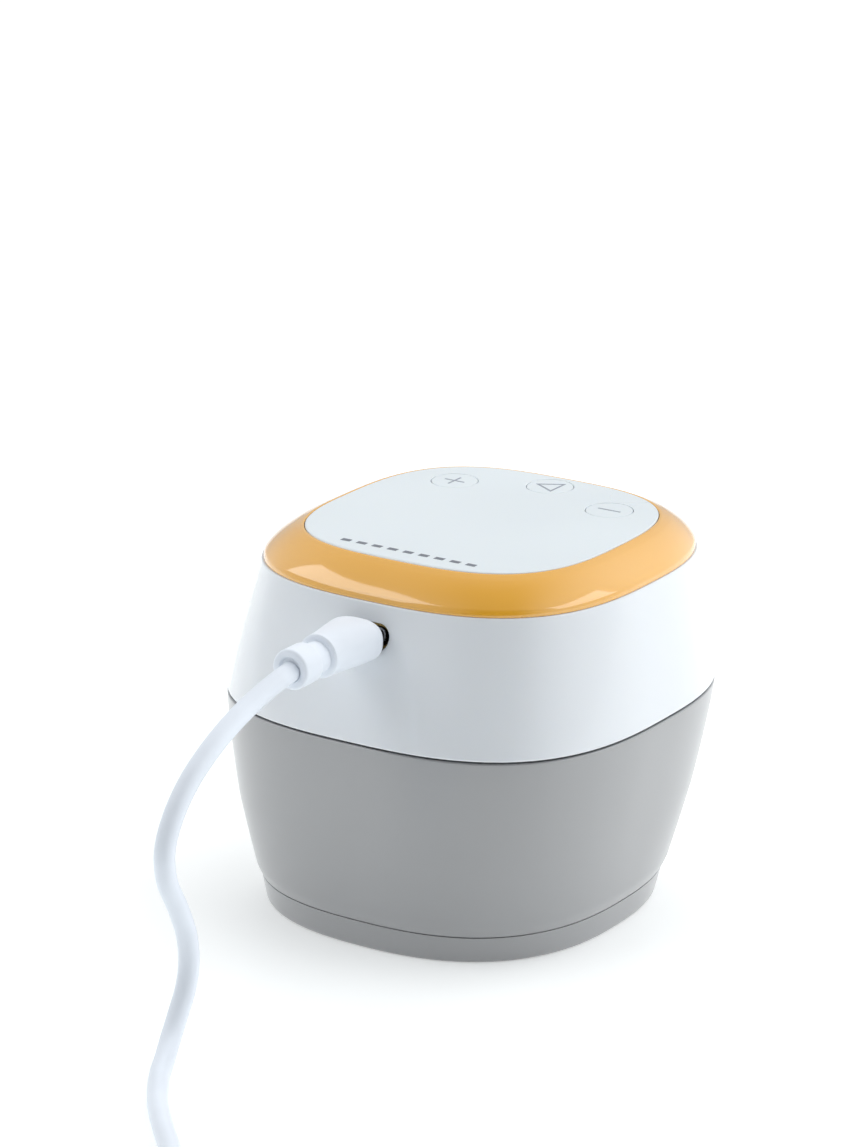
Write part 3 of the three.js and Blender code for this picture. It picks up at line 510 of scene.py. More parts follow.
def make_materials():
    white = linear(229, 233, 237)
    return {
        "grey_casing": moulded(
            "grey_casing", linear(143, 144, 146), 0.36, 0.012, 1.0, 0.012, 0.28, coat_ior=1.85
        ),
        "white_gloss": moulded("white_gloss", white, 0.12, coat=0.7, vary=0.01),
        "white_panel": moulded("white_panel", linear(228, 235, 238), 0.3, coat=0.3, vary=0.015),
        "orange_gloss": moulded(
            "orange_gloss", linear(242, 177, 52), 0.12, coat=1.0, vary=0.02, coat_ior=1.85
        ),
        "lead_white": elastomer("lead_white", linear(234, 240, 248), 0.42, 0.1),
        "rubber": elastomer("rubber", linear(46, 46, 48)),
        "steel": metal("steel", linear(196, 197, 200), 0.3, (1, 1, 12)),
        "dark_plastic": moulded("dark_plastic", linear(44, 44, 47), 0.5, 0.01),
        "natural_plastic": moulded("natural_plastic", linear(222, 220, 212), 0.4),
        "brass": metal("brass", linear(196, 164, 98), 0.28, (12, 1, 1)),
        "copper": windings("copper", linear(190, 112, 66)),
        "board_green": circuit("board_green"),
        "battery_wrap": moulded("battery_wrap", linear(62, 112, 172), 0.25, coat=0.4),
        "hose": elastomer("hose", linear(216, 215, 206), 0.3, 0.05),
        "print": moulded("print", linear(150, 155, 166), 0.4),
        "ink": moulded("ink", linear(118, 122, 130), 0.4),
    }


# ---- Pieces of the casing ----------------------------------------------------------------
def finish_piece(piece, body, slot, *nodes):
    """Ride on a body and stand for the CAD nodes; the slot argument is not used."""
    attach(piece, body)
    if nodes:
        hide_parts(*nodes)


def joined(name, meshes):
    """Several meshes as one."""
    bm = bmesh.new()
    for mesh in meshes:
        bm.from_mesh(mesh)
    result = bpy.data.meshes.new(name)
    bm.to_mesh(result)
    bm.free()
    return result


def post(centre, z0, z1, outer, bore, segments=32):
    """A round boss with a bore along it."""
    outline = [(bore, z0), (outer, z0), (outer, z1), (bore, z1)]
    return turned("post", "z", outline, centre, segments)


def add_foot(paints):
    outline = rounded(
        [
            (28.5, 0, 0.3),
            (BASE_HALF, 0, 0.9),
            (FOOT_HALF, FOOT_Z, 0.12),
            (31.0, FOOT_Z, 0.2),
            (31.0, 1.5, 0.2),
            (28.5, 1.5, 0.2),
        ]
    )
    piece = new_object("foot_band", casing("foot_band", outline), paints["grey_casing"])
    finish_piece(piece, "case", "grey_casing", "foot_ring")


def add_base(paints):
    outline = [(0.0, 1.8), (30.4, 1.8), (30.6, 1.9), (30.7, 2.1), (30.7, 4.7), (0.0, 4.7)]
    plate = casing("base_plate", outline, 160)
    recess = [(0.0, 0.5), (2.7, 0.5), (2.7, 1.75), (2.3, 2.1), (2.3, 3.5), (0.0, 3.5)]
    hole = [(0.0, 3.0), (1.2, 3.0), (1.2, 6.0), (0.0, 6.0)]
    cutters = []
    for spot in SCREW_SPOTS:
        cutters.append(turned("recess", "z", recess, spot, 40))
        cutters.append(turned("hole", "z", hole, spot, 24))
    mesh = boolean(plate, cutters)
    piece = new_object("base_plate", mesh, paints["grey_casing"])
    finish_piece(piece, "case", "grey_casing", "base_cover")


def add_lower(paints):
    low = FOOT_Z + 0.3
    top = SEAM_Z - 0.1
    close = FOOT_Z + 0.07
    bottom = [(26.0, low), (FOOT_HALF - 1.0, close + 0.1), (FOOT_HALF - 0.15, close)]
    for blend in (0.0, 0.08, 0.2, 0.4, 0.7, 1.0):
        z = close + 0.1 + (low + 1.9 - close) * blend
        bottom.append((half_at(z) - 0.44 * (1 - blend) ** 1.5, z))
    outline = bottom + side(low + 2.8, top - 0.4, 0, 20)
    for k in range(1, 5):
        a = math.pi / 2 * k / 4
        edge = half_at(top) - EDGE_R * (1 - math.cos(a))
        outline.append((edge, top - EDGE_R * (1 - math.sin(a))))
    outline += [(half_at(top) - 1.0, top), (half_at(37.5) - 1.0, 37.5)]
    outline += side(37.4, low + WALL + 0.3, WALL, 8) + [(26.0, low + WALL)]
    meshes = [casing("shell", outline)]
    meshes += [post(spot, low, 38.5, SCREW_POST_R, 1.3) for spot in SCREW_SPOTS]
    piece = new_object("lower_shell", joined("lower_shell", meshes), paints["grey_casing"])
    finish_piece(piece, "case", "grey_casing", "lower_housing")


def add_gasket(paints):
    seat = half_at(SEAM_Z)
    outline = rounded(
        [
            (seat - 1.9, 37.8, 0.15),
            (seat - 1.3, 37.8, 0.15),
            (seat - 1.3, 40.2, 0.15),
            (seat - 1.9, 40.2, 0.15),
        ],
        3,
    )
    piece = new_object("gasket", casing("gasket", outline), paints["rubber"])
    finish_piece(piece, "case", "rubber", "seam_gasket")


def port_cutter():
    """The charging socket's opening, its outer edge eased along the casing's slope."""
    radius = USB_HEIGHT / 2
    surface = half_at(USB_Z) + lean_at(USB_Z)
    rings = []
    for index, (depth, grow) in enumerate(EASED_EDGE):
        outline = round_rect(USB_WIDTH + 2 * grow, USB_HEIGHT + 2 * grow, radius + grow - 0.01, 12)
        slope = PORT_SLOPE if index else 0
        rings.append([(u, surface + depth + slope * v, USB_Z + v) for u, v in outline])
    return capped_mesh("port_cutter", rings)


def tube_hole_cutter():
    """The tube port's hole, its outer edge eased along the casing's slope."""
    surface = half_at(PORT_Z)
    rings = []
    for index, (depth, grow) in enumerate(EASED_EDGE):
        radius = PORT_R + 0.3 + grow
        slope = TUBE_SLOPE if index else 0
        ring = []
        for i in range(72):
            a = math.tau * i / 72
            v = radius * math.sin(a)
            across = PORT_Y + radius * math.cos(a)
            ring.append((surface + depth + slope * v, across, PORT_Z + v))
        rings.append(ring)
    return capped_mesh("tube_hole", rings)


def add_upper(paints):
    low = SEAM_Z + 0.2
    outline = []
    for k in range(5):
        a = math.pi / 2 * k / 4
        edge = half_at(low + EDGE_R) - EDGE_R * (1 - math.sin(a))
        outline.append((edge, low + EDGE_R * (1 - math.cos(a))))
    outline += side(low + 0.5, SHOULDER_Z - 0.3, 0, 16)
    for k in range(1, 6):
        a = math.pi / 2 * k / 5
        edge = half_at(SHOULDER_Z - 0.2)
        outline.append((edge - 0.22 * (1 - math.cos(a)), SHOULDER_Z - 0.2 * (1 - math.sin(a))))
    outline += [(24.0, SHOULDER_Z), (24.0, 60.8)]
    outline += side(60.8, 40.5, WALL, 8)
    outline += [(half_at(40.5) - 1.0, 40.5), (half_at(low) - 1.0, low)]
    stems = [
        turned("stem", "z", [(0.0, 60), (2.2, 60), (2.2, 64), (0.0, 64)], at, 32)
        for at in KEYS.values()
    ]
    shell = boolean(casing("shell", outline), [port_cutter(), tube_hole_cutter(), *stems])
    meshes = [shell]
    meshes += [post(spot, 39.4, 61.5, SCREW_POST_R, 0.9) for spot in SCREW_SPOTS]
    meshes += [post((x, -1.5), 56.3, 61.5, 2.4, 1.1) for x in (28, -28)]
    piece = new_object("upper_shell", joined("upper_shell", meshes), paints["white_gloss"])
    finish_piece(piece, "case", "white_gloss", "upper_housing")


def add_ring(paints):
    low = SHOULDER_Z + 0.02
    edge = half_at(low) - 0.32
    outline = [(29.2, low), (edge - 0.05, low), (edge, low + 0.05)]
    for z in (low + 0.4, low + 0.8):
        outline.append((half_at(z) - 0.32 * (low + 1.2 - z) / 1.2, z))
    outline += side(low + 1.2, FACE_Z - 0.62, 0, 20)
    inner = FACE_HALF + 0.16
    top = FACE_Z - 0.14
    outline += [(inner + 0.75, top - 0.16), (inner + 0.45, top - 0.03), (inner + 0.2, top)]
    outline += [(inner + 0.06, top - 0.05), (inner, top - 0.2), (inner, 66.0), (29.2, 66.0)]
    piece = new_object("accent_ring", casing("accent_ring", outline), paints["orange_gloss"])
    finish_piece(piece, "case", "orange_gloss", "trim_ring")


def add_panel(paints):
    top = FACE_Z - PRINT_THICK
    edge = FACE_HALF + 0.1
    outline = [(edge - 0.3, 66.3), (edge - 0.1, top - 0.5), (edge, top - 0.26)]
    outline += [(edge - 0.04, top - 0.12), (edge - 0.14, top - 0.03), (edge - 0.28, top)]
    rings = [plan_ring(half, z, CASING_SEGMENTS) for half, z in outline]
    hole = [(0.0, 60.0), (KEY_GAP_R, 60.0), (KEY_GAP_R, top - 0.1), (KEY_GAP_R + 0.1, top + 0.02)]
    hole += [(KEY_GAP_R + 1.2, top + 1.2), (0.0, top + 1.2)]
    cutters = [turned("hole", "z", hole, at, 72) for at in KEYS.values()]
    mesh = boolean(capped_mesh("top_panel", rings), cutters)
    piece = new_object("top_panel", mesh, paints["white_panel"])
    finish_piece(piece, "case", "white_panel", "face_panel")


def stroke(points, width, closed=False):
    """Flat outlines of a line of that width through the points, mitred at its corners."""
    count = len(points)
    left, right = [], []
    for i, point in enumerate(points):
        here = Vector(point)
        before = Vector(points[i - 1]) if closed or i else None
        after = Vector(points[(i + 1) % count]) if closed or i < count - 1 else None
        into = (here - before).normalized() if before is not None else None
        out = (after - here).normalized() if after is not None else None
        along = ((into or out) + (out or into)).normalized()
        normal = Vector((-along.y, along.x))
        reference = into or out
        scale = width / 2 / max(0.3, normal.dot(Vector((-reference.y, reference.x))))
        left.append(here + normal * scale)
        right.append(here - normal * scale)
    return left, right


def print_mesh(name, strokes, z0, z1):
    """Raised ink for strokes of (points, width, closed), from z0 to z1."""
    bm = bmesh.new()
    for points, width, closed in strokes:
        left, right = stroke(points, width, closed)
        low, high = (
            [[bm.verts.new((*(spot * MM), z * MM)) for spot in pair] for pair in zip(left, right)]
            for z in (z0, z1)
        )
        count = len(points)
        for i in range(count if closed else count - 1):
            j = (i + 1) % count
            bm.faces.new((high[i][0], high[j][0], high[j][1], high[i][1]))
            bm.faces.new((low[i][1], low[j][1], low[j][0], low[i][0]))
            bm.faces.new((low[i][0], low[j][0], high[j][0], high[i][0]))
            bm.faces.new((high[i][1], high[j][1], low[j][1], low[i][1]))
        if not closed:
            for i in (0, count - 1):
                bm.faces.new((low[i][0], high[i][0], high[i][1], low[i][1]))
    return finished_mesh(name, bm)


def add_keys(paints):
    """Key caps with a printed plus, minus and start triangle."""
    top = FACE_Z - PRINT_THICK
    for name, (x, y) in KEYS.items():
        outline = [(0.0, 59.05), (1.3, 59.05), (1.6, 59.35), (1.6, 64.9)]
        outline += [(5.0, 64.9), (5.1, 65.0), (5.1, 65.9), (5.0, 66.0), (CAP_R, 66.0)]
        outline += [(CAP_R, top - 0.16), (CAP_R - 0.04, top - 0.06), (CAP_R - 0.14, top)]
        outline.append((0.0, top))
        cap_mesh = turned(name, "z", outline, (x, y), 72)
        cap = new_object("keycap_" + name, cap_mesh, paints["white_panel"])
        finish_piece(cap, name + "_key", "white_panel", "key_" + name)
        if name == "plus":
            strokes = [
                ([(x - 2.1, y), (x + 2.1, y)], LINE, False),
                ([(x, y - 2.1), (x, y - LINE / 2)], LINE, False),
                ([(x, y + LINE / 2), (x, y + 2.1)], LINE, False),
            ]
        elif name == "minus":
            strokes = [([(x - 2.3, y), (x + 2.3, y)], LINE, False)]
        else:
            strokes = [([(x - 1.6, y - 2.4), (x + 2.6, y), (x - 1.6, y + 2.4)], LINE, True)]
        icon = print_mesh(name, strokes, top - PRINT_SUNK, FACE_Z)
        ink = new_object("icon_" + name, icon, paints["print"])
        finish_piece(ink, name + "_key", "white_panel")


def add_level_marks(paints):
    """A row of short printed bars along the panel's rear edge."""
    strokes = []
    for i in range(9):
        x = (i - 4) * 3.25
        strokes.append(([(x - 0.95, 20.7), (x + 0.95, 20.7)], 1.1, False))
    top = FACE_Z - PRINT_THICK
    mesh = print_mesh("level_marks", strokes, top - PRINT_SUNK, FACE_Z)
    piece = new_object("level_marks", mesh, paints["ink"])
    finish_piece(piece, "case", "white_panel")


def add_screws(paints):
    """Case screws with rounded heads, cross recesses and threaded shanks."""
    for index, (x, y) in enumerate(SCREW_SPOTS, 1):
        outline = [(0.0, 2.1), (1.5, 2.1), (1.8, 2.25), (1.9, 2.5), (1.9, 3.2), (SHANK_R, 3.2)]
        z = 3.4
        while z < 48.6:
            outline += [(SHANK_R, z), (0.7, z + 0.2), (0.7, z + 0.35), (SHANK_R, z + 0.55)]
            z += THREAD_PITCH
        outline += [(0.6, 49.2), (0.0, 50.0)]
        head = turned("screw", "z", outline, (x, y), 24)
        arms = []
        for wide, deep in ((2.2, 0.45), (0.45, 2.2)):
            low = [(u + x, v + y, 1.9) for u, v in round_rect(wide, deep, 0.1, 2)]
            high = [(u * 0.55 + x, v * 0.55 + y, 3.0) for u, v in round_rect(wide, deep, 0.1, 2)]
            arms.append(capped_mesh("arm", [low, high]))
        name = f"long_screw_{index}"
        piece = new_object(name, boolean(head, arms), paints["steel"])
        finish_piece(piece, "case", "steel", f"case_screw_{index}")


def add_tube_port(paints):
    """The tubing socket: a sleeve with an eased mouth and two nipples behind it."""
    outline = rounded(
        [
            (0.0, 26, 0),
            (PORT_R, 26, 0.3),
            (PORT_R, PORT_MOUTH_X, 0.35),
            (PORT_BORE_R + 0.1, PORT_MOUTH_X, 0.5),
            (PORT_BORE_R, 29.5, 0.4),
            (0.0, 29.5, 0),
        ]
    )
    socket = turned("tube_socket", "x", outline, (PORT_Y, PORT_Z), 72)
    nipple = [(0.0, 21.5), (0.8, 21.5), (0.95, 21.8), (0.95, 27), (0.0, 27)]
    bore = [(0.0, 20), (0.5, 20), (0.5, 31), (0.0, 31)]
    nipples = [turned("nipple", "x", nipple, (y, PORT_Z), 28) for y in NIPPLE_Y]
    bores = [turned("bore", "x", bore, (y, PORT_Z), 20) for y in NIPPLE_Y]
    mesh = boolean(boolean(socket, nipples, "UNION"), bores)
    piece = new_object("tube_socket", mesh, paints["white_gloss"])
    finish_piece(piece, "case", "white_gloss", "tube_port")


def add_usb_socket(paints):
    """The charging socket's drawn can with its tongue."""
    outer = round_rect(8.0, 2.7, 1.1, 8)
    inner = round_rect(7.4, 2.15, 0.85, 8)
    can = extruded("can", "y", [(28.4, outer), (33.8, outer)], (0, 57.65))
    mouth = extruded("mouth", "y", [(29.0, inner), (36, inner)], (0, 57.62))
    blade = round_rect(3.6, 0.5, 0.1, 2)
    tongue = extruded("tongue", "y", [(28.4, blade), (33.0, blade)], (0, 57.55))
    mesh = joined("socket_can", [boolean(can, [mouth]), tongue])
    piece = new_object("socket_can", mesh, paints["steel"])
    finish_piece(piece, "case", "steel", "usb_socket")


def add_port_liner(paints):
    """A thin metal frame that lines the charging opening."""
    outer = round_rect(USB_WIDTH - 0.1, USB_HEIGHT - 0.1, 2.18, 12)
    inner = round_rect(USB_WIDTH - 0.9, USB_HEIGHT - 0.9, 1.78, 12)
    tube = extruded("liner", "y", [(30.6, outer), (33.6, outer)], (0, USB_Z))
    hollow = extruded("hollow", "y", [(30.0, inner), (34.5, inner)], (0, USB_Z))
    piece = new_object("port_liner", boolean(tube, [hollow]), paints["brass"])
    finish_piece(piece, "case", "brass")


# ---- Charging lead -----------------------------------------------------------------------
def add_plug(paints):
    """The plug's moulded body, metal shell and collar."""
    wide_front, tall_front = PLUG_FRONT
    front_power, rear_power = PLUG_POWERS
    sections = [
        (PLUG_FRONT_Y, wide_front * size, tall_front * size, front_power) for size in (0.7, 0.84)
    ]
    steps = 40
    for k in range(steps):
        along = k / steps
        y = PLUG_FRONT_Y + along * (PLUG_REAR_Y - PLUG_FRONT_Y)
        ease = along * along * (3 - 2 * along)
        nose = 1 - 0.1 * (1 - min(1, along / 0.16)) ** 2
        wide = (wide_front + (PLUG_REAR_R - wide_front) * ease) * nose
        tall = (tall_front + (PLUG_REAR_R - tall_front) * ease) * nose
        sections.append((y, wide, tall, front_power - (front_power - rear_power) * ease))
    rear = [(PLUG_REAR_Y - back, size) for back, size in REAR_EDGE]
    neck = [(PLUG_REAR_Y + 0.02, 0.73), (PLUG_REAR_Y + 0.3, 0.72), (COLLAR_Y[0] - 0.3, 0.72)]
    for y, size in rear + neck:
        sections.append((y, PLUG_REAR_R * size, PLUG_REAR_R * size, rear_power))
    rings = []
    for y, wide, tall, n in sections:
        ring = []
        for i in range(72):
            a = math.tau * i / 72
            c, s = math.cos(a), math.sin(a)
            stretch = (abs(c) ** n + abs(s) ** n) ** (-1 / n)
            ring.append((wide * c * stretch, y, USB_Z + tall * s * stretch))
        rings.append(ring)
    body = new_object("plug_body", capped_mesh("plug_body", rings), paints["lead_white"])
    finish_piece(body, "lead", "lead_white", "plug_overmold")

    z = USB_Z + 0.2
    outer = round_rect(6.8, 1.8, 0.85, 8)
    inner = round_rect(6.2, 1.2, 0.55, 8)
    tube = extruded("tube", "y", [(29.4, outer), (35.7, outer)], (0, z))
    hollow = extruded("hollow", "y", [(28.0, inner), (35.0, inner)], (0, z))
    shell = new_object("plug_tip", boolean(tube, [hollow]), paints["steel"])
    finish_piece(shell, "lead", "steel", "plug_shell")

    collar_shape = collar_mesh("y", COLLAR_Y, (0, USB_Z))
    collar = new_object("relief_collar", collar_shape, paints["lead_white"])
    finish_piece(collar, "lead", "lead_white", "plug_collar")
    return body, shell, collar


def collar_mesh(axis, span, centre):
    """A strain relief collar with rounded edges and a shallow dish round the cord."""
    a, b = span
    outline = rounded(
        [
            (0.0, a, 0),
            (COLLAR_R, a, 0.9),
            (COLLAR_R, b, 0.9),
            (2.3, b - 0.1, 0.3),
            (1.95, b - COLLAR_BACK, 0.2),
            (0.0, b - COLLAR_BACK, 0),
        ],
        8,
    )
    return turned("collar", axis, outline, centre, 64)


def smooth_path(points, spacing):
    """Points about `spacing` apart on a smooth curve through the given ones."""
    places = [Vector(p) for p in points]
    path = []
    for i in range(len(places) - 1):
        p0 = places[max(0, i - 1)]
        p1, p2 = places[i], places[i + 1]
        p3 = places[min(len(places) - 1, i + 2)]
        t1 = max(1e-6, (p1 - p0).length) ** 0.5
        t2 = (p2 - p1).length ** 0.5
        t3 = max(1e-6, (p3 - p2).length) ** 0.5
        m1 = m2 = p2 - p1
        if i > 0:
            m1 = (p1 - p0) * t2 / t1 - (p2 - p0) * t2 / (t1 + t2) + (p2 - p1)
        if i < len(places) - 2:
            m2 = (p2 - p1) - (p3 - p1) * t2 / (t2 + t3) + (p3 - p2) * t2 / t3
        steps = max(2, round((p2 - p1).length / spacing))
        for k in range(steps):
            t = k / steps
            h1 = 2 * t**3 - 3 * t**2 + 1
            h2 = t**3 - 2 * t**2 + t
            h3 = -2 * t**3 + 3 * t**2
            h4 = t**3 - t**2
            path.append(p1 * h1 + m1 * h2 + p2 * h3 + m2 * h4)
    path.append(places[-1])
    return path


def lift_at(angle):
    """How far the ties hold the cord up off the floor at an angle round the coil."""
    lift = 0.0
    for tie in TIE_ANGLES:
        away = abs((angle - tie + math.pi) % math.tau - math.pi)
        lift = max(lift, 0.5 + 0.5 * math.cos(min(math.pi, away * 4)))
    return TIE_LIFT * lift


def coil_path():
    """Centreline of the coil: three turns in on the floor, then three turns out on top."""
    wide, narrow, top_narrow = COIL_RADII
    path = []
    for k in range(TURNS * POINTS_PER_TURN + 1):
        turn = k / POINTS_PER_TURN
        angle = math.pi - math.tau * turn
        radius = wide - (wide - narrow) * turn / TURNS
        path.append((angle, radius, LAYER_Z[0]))
    quarter = POINTS_PER_TURN // 4
    for k in range(1, quarter + 1):
        t = k / quarter
        ease = t * t * (3 - 2 * t)
        angle = math.pi - math.tau * (TURNS + t / 4)
        radius = narrow + (top_narrow - narrow) * ease
        path.append((angle, radius, LAYER_Z[0] + (LAYER_Z[1] - LAYER_Z[0]) * ease))
    start = math.pi - math.tau * (TURNS + 0.25)
    for k in range(1, TURNS * POINTS_PER_TURN + 1):
        turn = k / POINTS_PER_TURN
        radius = top_narrow + (wide - top_narrow) * turn / TURNS
        path.append((start - math.tau * turn, radius, LAYER_Z[1]))
    x, y = COIL_CENTRE
    return [
        Vector((x + r * math.cos(a), y + r * math.sin(a), z + lift_at(a))) for a, r, z in path
    ]


def add_cord(paints):
    """The whole cord, from the plug's collar through the coil to the far plug."""
    lead_in = smooth_path([*CORD_ROUTE, *INTO_COIL], PATH_STEP)[:-1]
    coil = coil_path()
    end = coil[-1]
    into_charger = (CHARGER_X - 0.1, CHARGER_Y, CHARGER_Z)
    tail = smooth_path([end, OUT_OF_COIL, *TAIL_ROUTE, into_charger], PATH_STEP)
    path = lead_in + coil + tail[1:]
    path[0] = Vector((0, COLLAR_Y[1] - 0.4, USB_Z - 0.35))
    curve = bpy.data.curves.new("charging_cord", "CURVE")
    curve.dimensions = "3D"
    curve.bevel_depth = CORD_R * MM
    curve.bevel_resolution = 7
    curve.use_fill_caps = True
    spline = curve.splines.new("POLY")
    spline.points.add(len(path) - 1)
    for spot, place in zip(spline.points, path):
        spot.co = (*(place * MM), 1)
    spline.use_smooth = True
    curve.materials.append(paints["lead_white"])
    cord = bpy.data.objects.new("charging_cord", curve)
    bpy.context.collection.objects.link(cord)
    finish_piece(cord, "lead", "lead_white", "cord_tube", "cord_coil", "cord_tail")
    return cord, path[0] * MM


def add_ties(paints):
    """Two straps round the coil's bundle."""
    inner, outer = TIE_SPAN
    bottom = LAYER_Z[0] - CORD_R + TIE_LIFT
    top = LAYER_Z[1] + CORD_R + TIE_LIFT
    wide = outer - inner + 0.3
    tall = top - bottom + 0.1
    skin = TIE_THICK
    section = [
        (0.0, -0.5),
        (skin * 0.7, -0.5),
        (skin, -0.44),
        (skin, 0.44),
        (skin * 0.7, 0.5),
        (0.0, 0.5),
    ]
    made = []
    for index, angle in enumerate(TIE_ANGLES, 1):
        outward = Vector((math.cos(angle), math.sin(angle), 0))
        beside = Vector((-outward.y, outward.x, 0))
        middle = Vector((*COIL_CENTRE, 0)) + outward * (inner + outer) / 2
        middle.z = (bottom + top) / 2
        rings = []
        for grow, where in section:
            loop = round_rect(wide + 2 * grow, tall + 2 * grow, 1.75 + grow, 8)
            shift = beside * where * TIE_WIDTH
            rings.append([middle + shift + outward * u + Vector((0, 0, v)) for u, v in loop])
        mesh = ring_mesh("tie", rings)
        piece = new_object(f"cord_tie_{index}", mesh, paints["lead_white"])
        finish_piece(piece, "lead", "lead_white")
        made.append(piece)
    return made


def add_charger(paints):
    """The far plug: collar, ribbed grip and metal shell with its tongue."""
    collar_span = (CHARGER_X, CHARGER_X + 4.7)
    outline = rounded(
        [
            (0.0, collar_span[0] + 0.4, 0),
            (2.0, collar_span[0] + 0.4, 0.2),
            (2.3, collar_span[0] + 0.05, 0.2),
            (COLLAR_R, collar_span[0], 0.9),
            (COLLAR_R, collar_span[1], 0.6),
            (0.0, collar_span[1], 0),
        ],
        8,
    )
    centre = (CHARGER_Y, CHARGER_Z)
    relief = turned("relief", "x", outline, centre, 64)
    collar = new_object("charger_relief", relief, paints["lead_white"])
    finish_piece(collar, "lead", "lead_white", "charger_collar")

    start, end = CHARGER_X + 5, CHARGER_X + 26
    sections = []
    for along, shrink in ((0.0, 1.3), (0.12, 0.8), (0.45, 0.35), (1.0, 0.1), (1.8, 0.0)):
        sections.append((start + along, shrink))
    for rib in range(5):
        x = start + 4.0 + rib * 1.5
        sections += [(x, 0.0), (x + 0.2, 0.3), (x + 0.6, 0.3), (x + 0.8, 0.0)]
    for along, shrink in ((1.2, 0.0), (0.6, 0.1), (0.2, 0.35), (0.0, 0.8)):
        sections.append((end - along, shrink))
    outlines = [
        (x, round_rect(15.2 - 2 * cut, 8.2 - 2 * cut, 2.4 - cut * 0.6, 8))
        for x, cut in sections
    ]
    body = extruded("grip", "x", outlines, centre)
    grip = new_object("charger_body", body, paints["lead_white"], 40)
    finish_piece(grip, "lead", "lead_white", "charger_grip")

    x0, x1 = end + 0.3, end + 12
    outside = round_rect(12, 4.5, 0.6)
    inside = round_rect(11.3, 3.8, 0.35)
    outer = extruded("outer", "x", [(x0, outside), (x1, outside)], centre)
    inner = extruded("inner", "x", [(x0 + 1.2, inside), (x1 + 1, inside)], centre)
    windows = []
    for y in (-2.85, 2.85):
        spot = (x1 - 6.4, CHARGER_Y + y)
        low = [(spot[0] + u, spot[1] + v, CHARGER_Z - 4) for u, v in round_rect(2.2, 2.4, 0.15, 2)]
        high = [(px, py, CHARGER_Z + 4) for px, py, _ in low]
        windows.append(capped_mesh("window", [low, high]))
    shell = boolean(outer, [inner, *windows])
    shell_piece = new_object("charger_tip", shell, paints["steel"])
    finish_piece(shell_piece, "lead", "steel", "charger_shell")
    blade = round_rect(11.1, 1.7, 0.1, 2)
    ends = [(x0 + 1.1, blade), (x1 - 0.4, blade)]
    tongue_mesh = extruded("tongue", "x", ends, (CHARGER_Y, CHARGER_Z + 0.98))
    tongue = new_object("charger_tongue", tongue_mesh, paints["dark_plastic"])
    finish_piece(tongue, "lead", "dark_plastic")
    strip = round_rect(1.1, 0.12, 0.03, 2)
    ends = [(x0 + 3, strip), (x1 - 1.0, strip)]
    contacts = []
    for index in range(4):
        at = (CHARGER_Y + (index - 1.5) * 2.3, CHARGER_Z + 0.1)
        contacts.append(extruded("contact", "x", ends, at))
    strips = new_object("charger_contacts", joined("contacts", contacts), paints["brass"])
    finish_piece(strips, "lead", "brass")
    return [collar, grip, shell_piece, tongue, strips]


# ---- Other CAD nodes ---------------------------------------------------------------------
def paint_inside(paints):
    """Give each CAD node that is still shown the finish of its slot."""
    for part in frame["record"]["subparts"]:
        node = NODES[part["node"]]
        if node.hide_render:
            continue
        node.data.materials.clear()
        node.data.materials.append(paints[part["material_slot"]])


# ---- Studio ------------------------------------------------------------------------------
# Soft glows round the table: towards a direction, rising from one cosine to another, by so much
GLOWS = [
    ((0.549, -0.836, 0.0), 0.0, 1.0, 0.55),
    ((-0.836, -0.549, 0.1), 0.15, 0.9, 1.0),
    ((0.836, 0.549, 0.1), 0.25, 0.95, 0.7),
    ((0.0, 0.0, 1.0), 0.4, 1.0, 0.25),
]
GLOW_BASE = 0.03


def add_surroundings():
    """White surroundings that are darker on the side the view comes from."""
    world = bpy.data.worlds.new("studio")
    world.use_nodes = True
    tree = world.node_tree
    coords = tree.nodes.new("ShaderNodeTexCoord")
    total = None
    for direction, start, end, amount in GLOWS:
        toward = tree.nodes.new("ShaderNodeVectorMath")
        toward.operation = "DOT_PRODUCT"
        toward.inputs[1].default_value = Vector(direction).normalized()
        tree.links.new(coords.outputs["Generated"], toward.inputs[0])
        rise = tree.nodes.new("ShaderNodeMapRange")
        rise.interpolation_type = "SMOOTHSTEP"
        rise.inputs["From Min"].default_value = start
        rise.inputs["From Max"].default_value = end
        rise.inputs["To Max"].default_value = amount
        tree.links.new(toward.outputs["Value"], rise.inputs["Value"])
        add = tree.nodes.new("ShaderNodeMath")
        add.inputs[1].default_value = GLOW_BASE
        tree.links.new(rise.outputs["Result"], add.inputs[0])
        if total is not None:
            tree.links.new(total, add.inputs[1])
        total = add.outputs["Value"]
    background = tree.nodes["Background"]
    background.inputs["Color"].default_value = (0.94, 0.97, 1.0, 1)
    tree.links.new(total, background.inputs["Strength"])
    bpy.context.scene.world = world


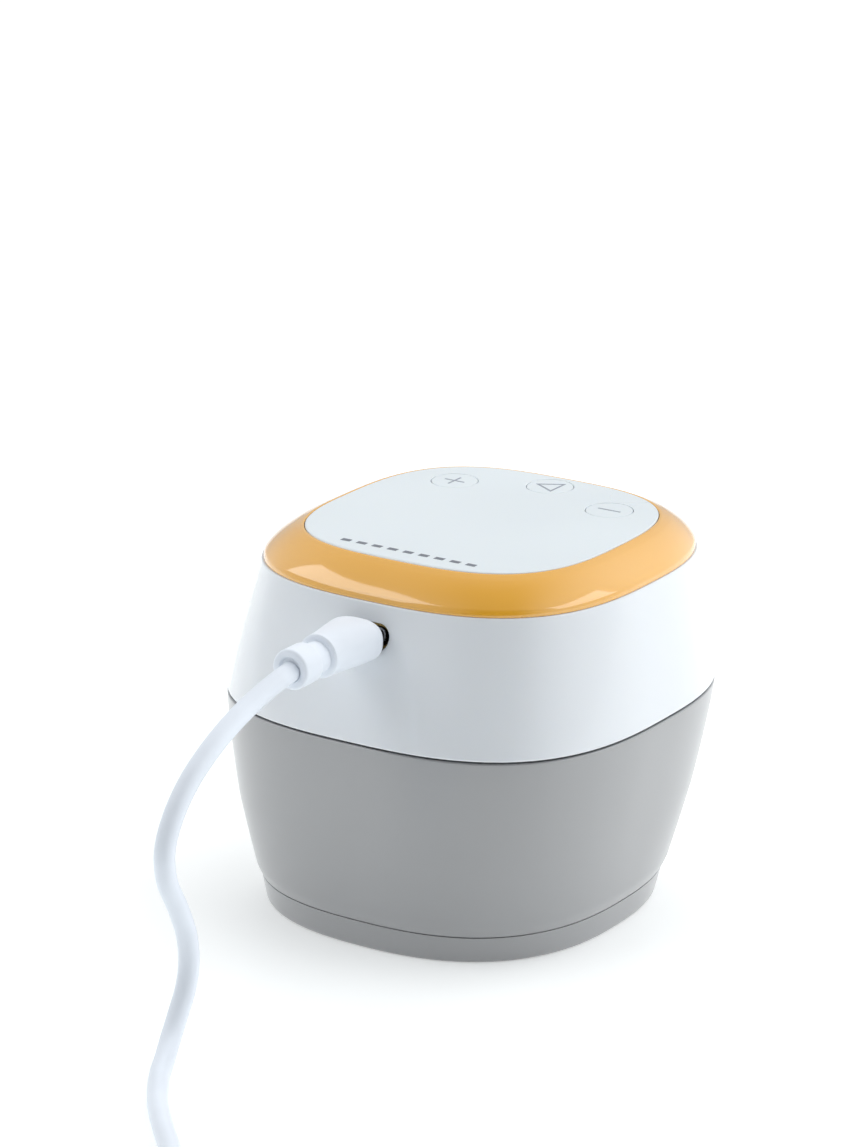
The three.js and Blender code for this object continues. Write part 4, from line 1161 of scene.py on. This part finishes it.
def add_studio():
    floor_paint = Paint("studio_floor")
    base = floor_paint.noise(3, 2)
    floor_paint.colour(base, linear(250, 252, 251), linear(252, 254, 253))
    floor_paint.rough(base, 0.11, 0.13)
    floor_paint.set(Specular_IOR_Level=0.35, Emission_Color=(1, 1, 1, 1), Emission_Strength=0.26)
    bm = bmesh.new()
    bmesh.ops.create_grid(bm, x_segments=8, y_segments=8, size=6)
    mesh = bpy.data.meshes.new("studio_floor")
    bm.to_mesh(mesh)
    bm.free()
    mesh.materials.append(floor_paint.material)
    floor = bpy.data.objects.new("studio_floor", mesh)
    bpy.context.collection.objects.link(floor)

    add_surroundings()

    middle = Vector((0, 0, 0.05))

    def softbox(name, place, size, radiance, glossy=True):
        data = bpy.data.lights.new(name, "AREA")
        data.shape = "RECTANGLE"
        data.size, data.size_y = size
        data.energy = radiance * math.pi * size[0] * size[1]
        lamp = bpy.data.objects.new(name, data)
        lamp.location = place
        lamp.rotation_euler = (lamp.location - middle).to_track_quat("Z", "Y").to_euler()
        lamp.visible_glossy = glossy
        bpy.context.collection.objects.link(lamp)

    softbox("top_box", (0.0, -0.75, 1.45), (1.7, 1.5), 1.45, glossy=False)
    softbox("left_box", (0.8, 0.55, 0.87), (1.15, 0.66), 1.45)
    softbox("right_box", (-0.97, -0.34, 0.66), (1.1, 0.66), 1.3)
    bpy.context.scene.view_settings.view_transform = "Standard"


# ---- Build -------------------------------------------------------------------------------
add_camera()
PAINTS = make_materials()
cord, cord_exit = add_cord(PAINTS)
plug_pieces = add_plug(PAINTS)
ties = add_ties(PAINTS)
charger_pieces = add_charger(PAINTS)
add_foot(PAINTS)
add_base(PAINTS)
add_lower(PAINTS)
add_gasket(PAINTS)
add_upper(PAINTS)
add_ring(PAINTS)
add_panel(PAINTS)
add_keys(PAINTS)
add_level_marks(PAINTS)
add_screws(PAINTS)
add_tube_port(PAINTS)
add_usb_socket(PAINTS)
add_port_liner(PAINTS)
paint_inside(PAINTS)
add_studio()
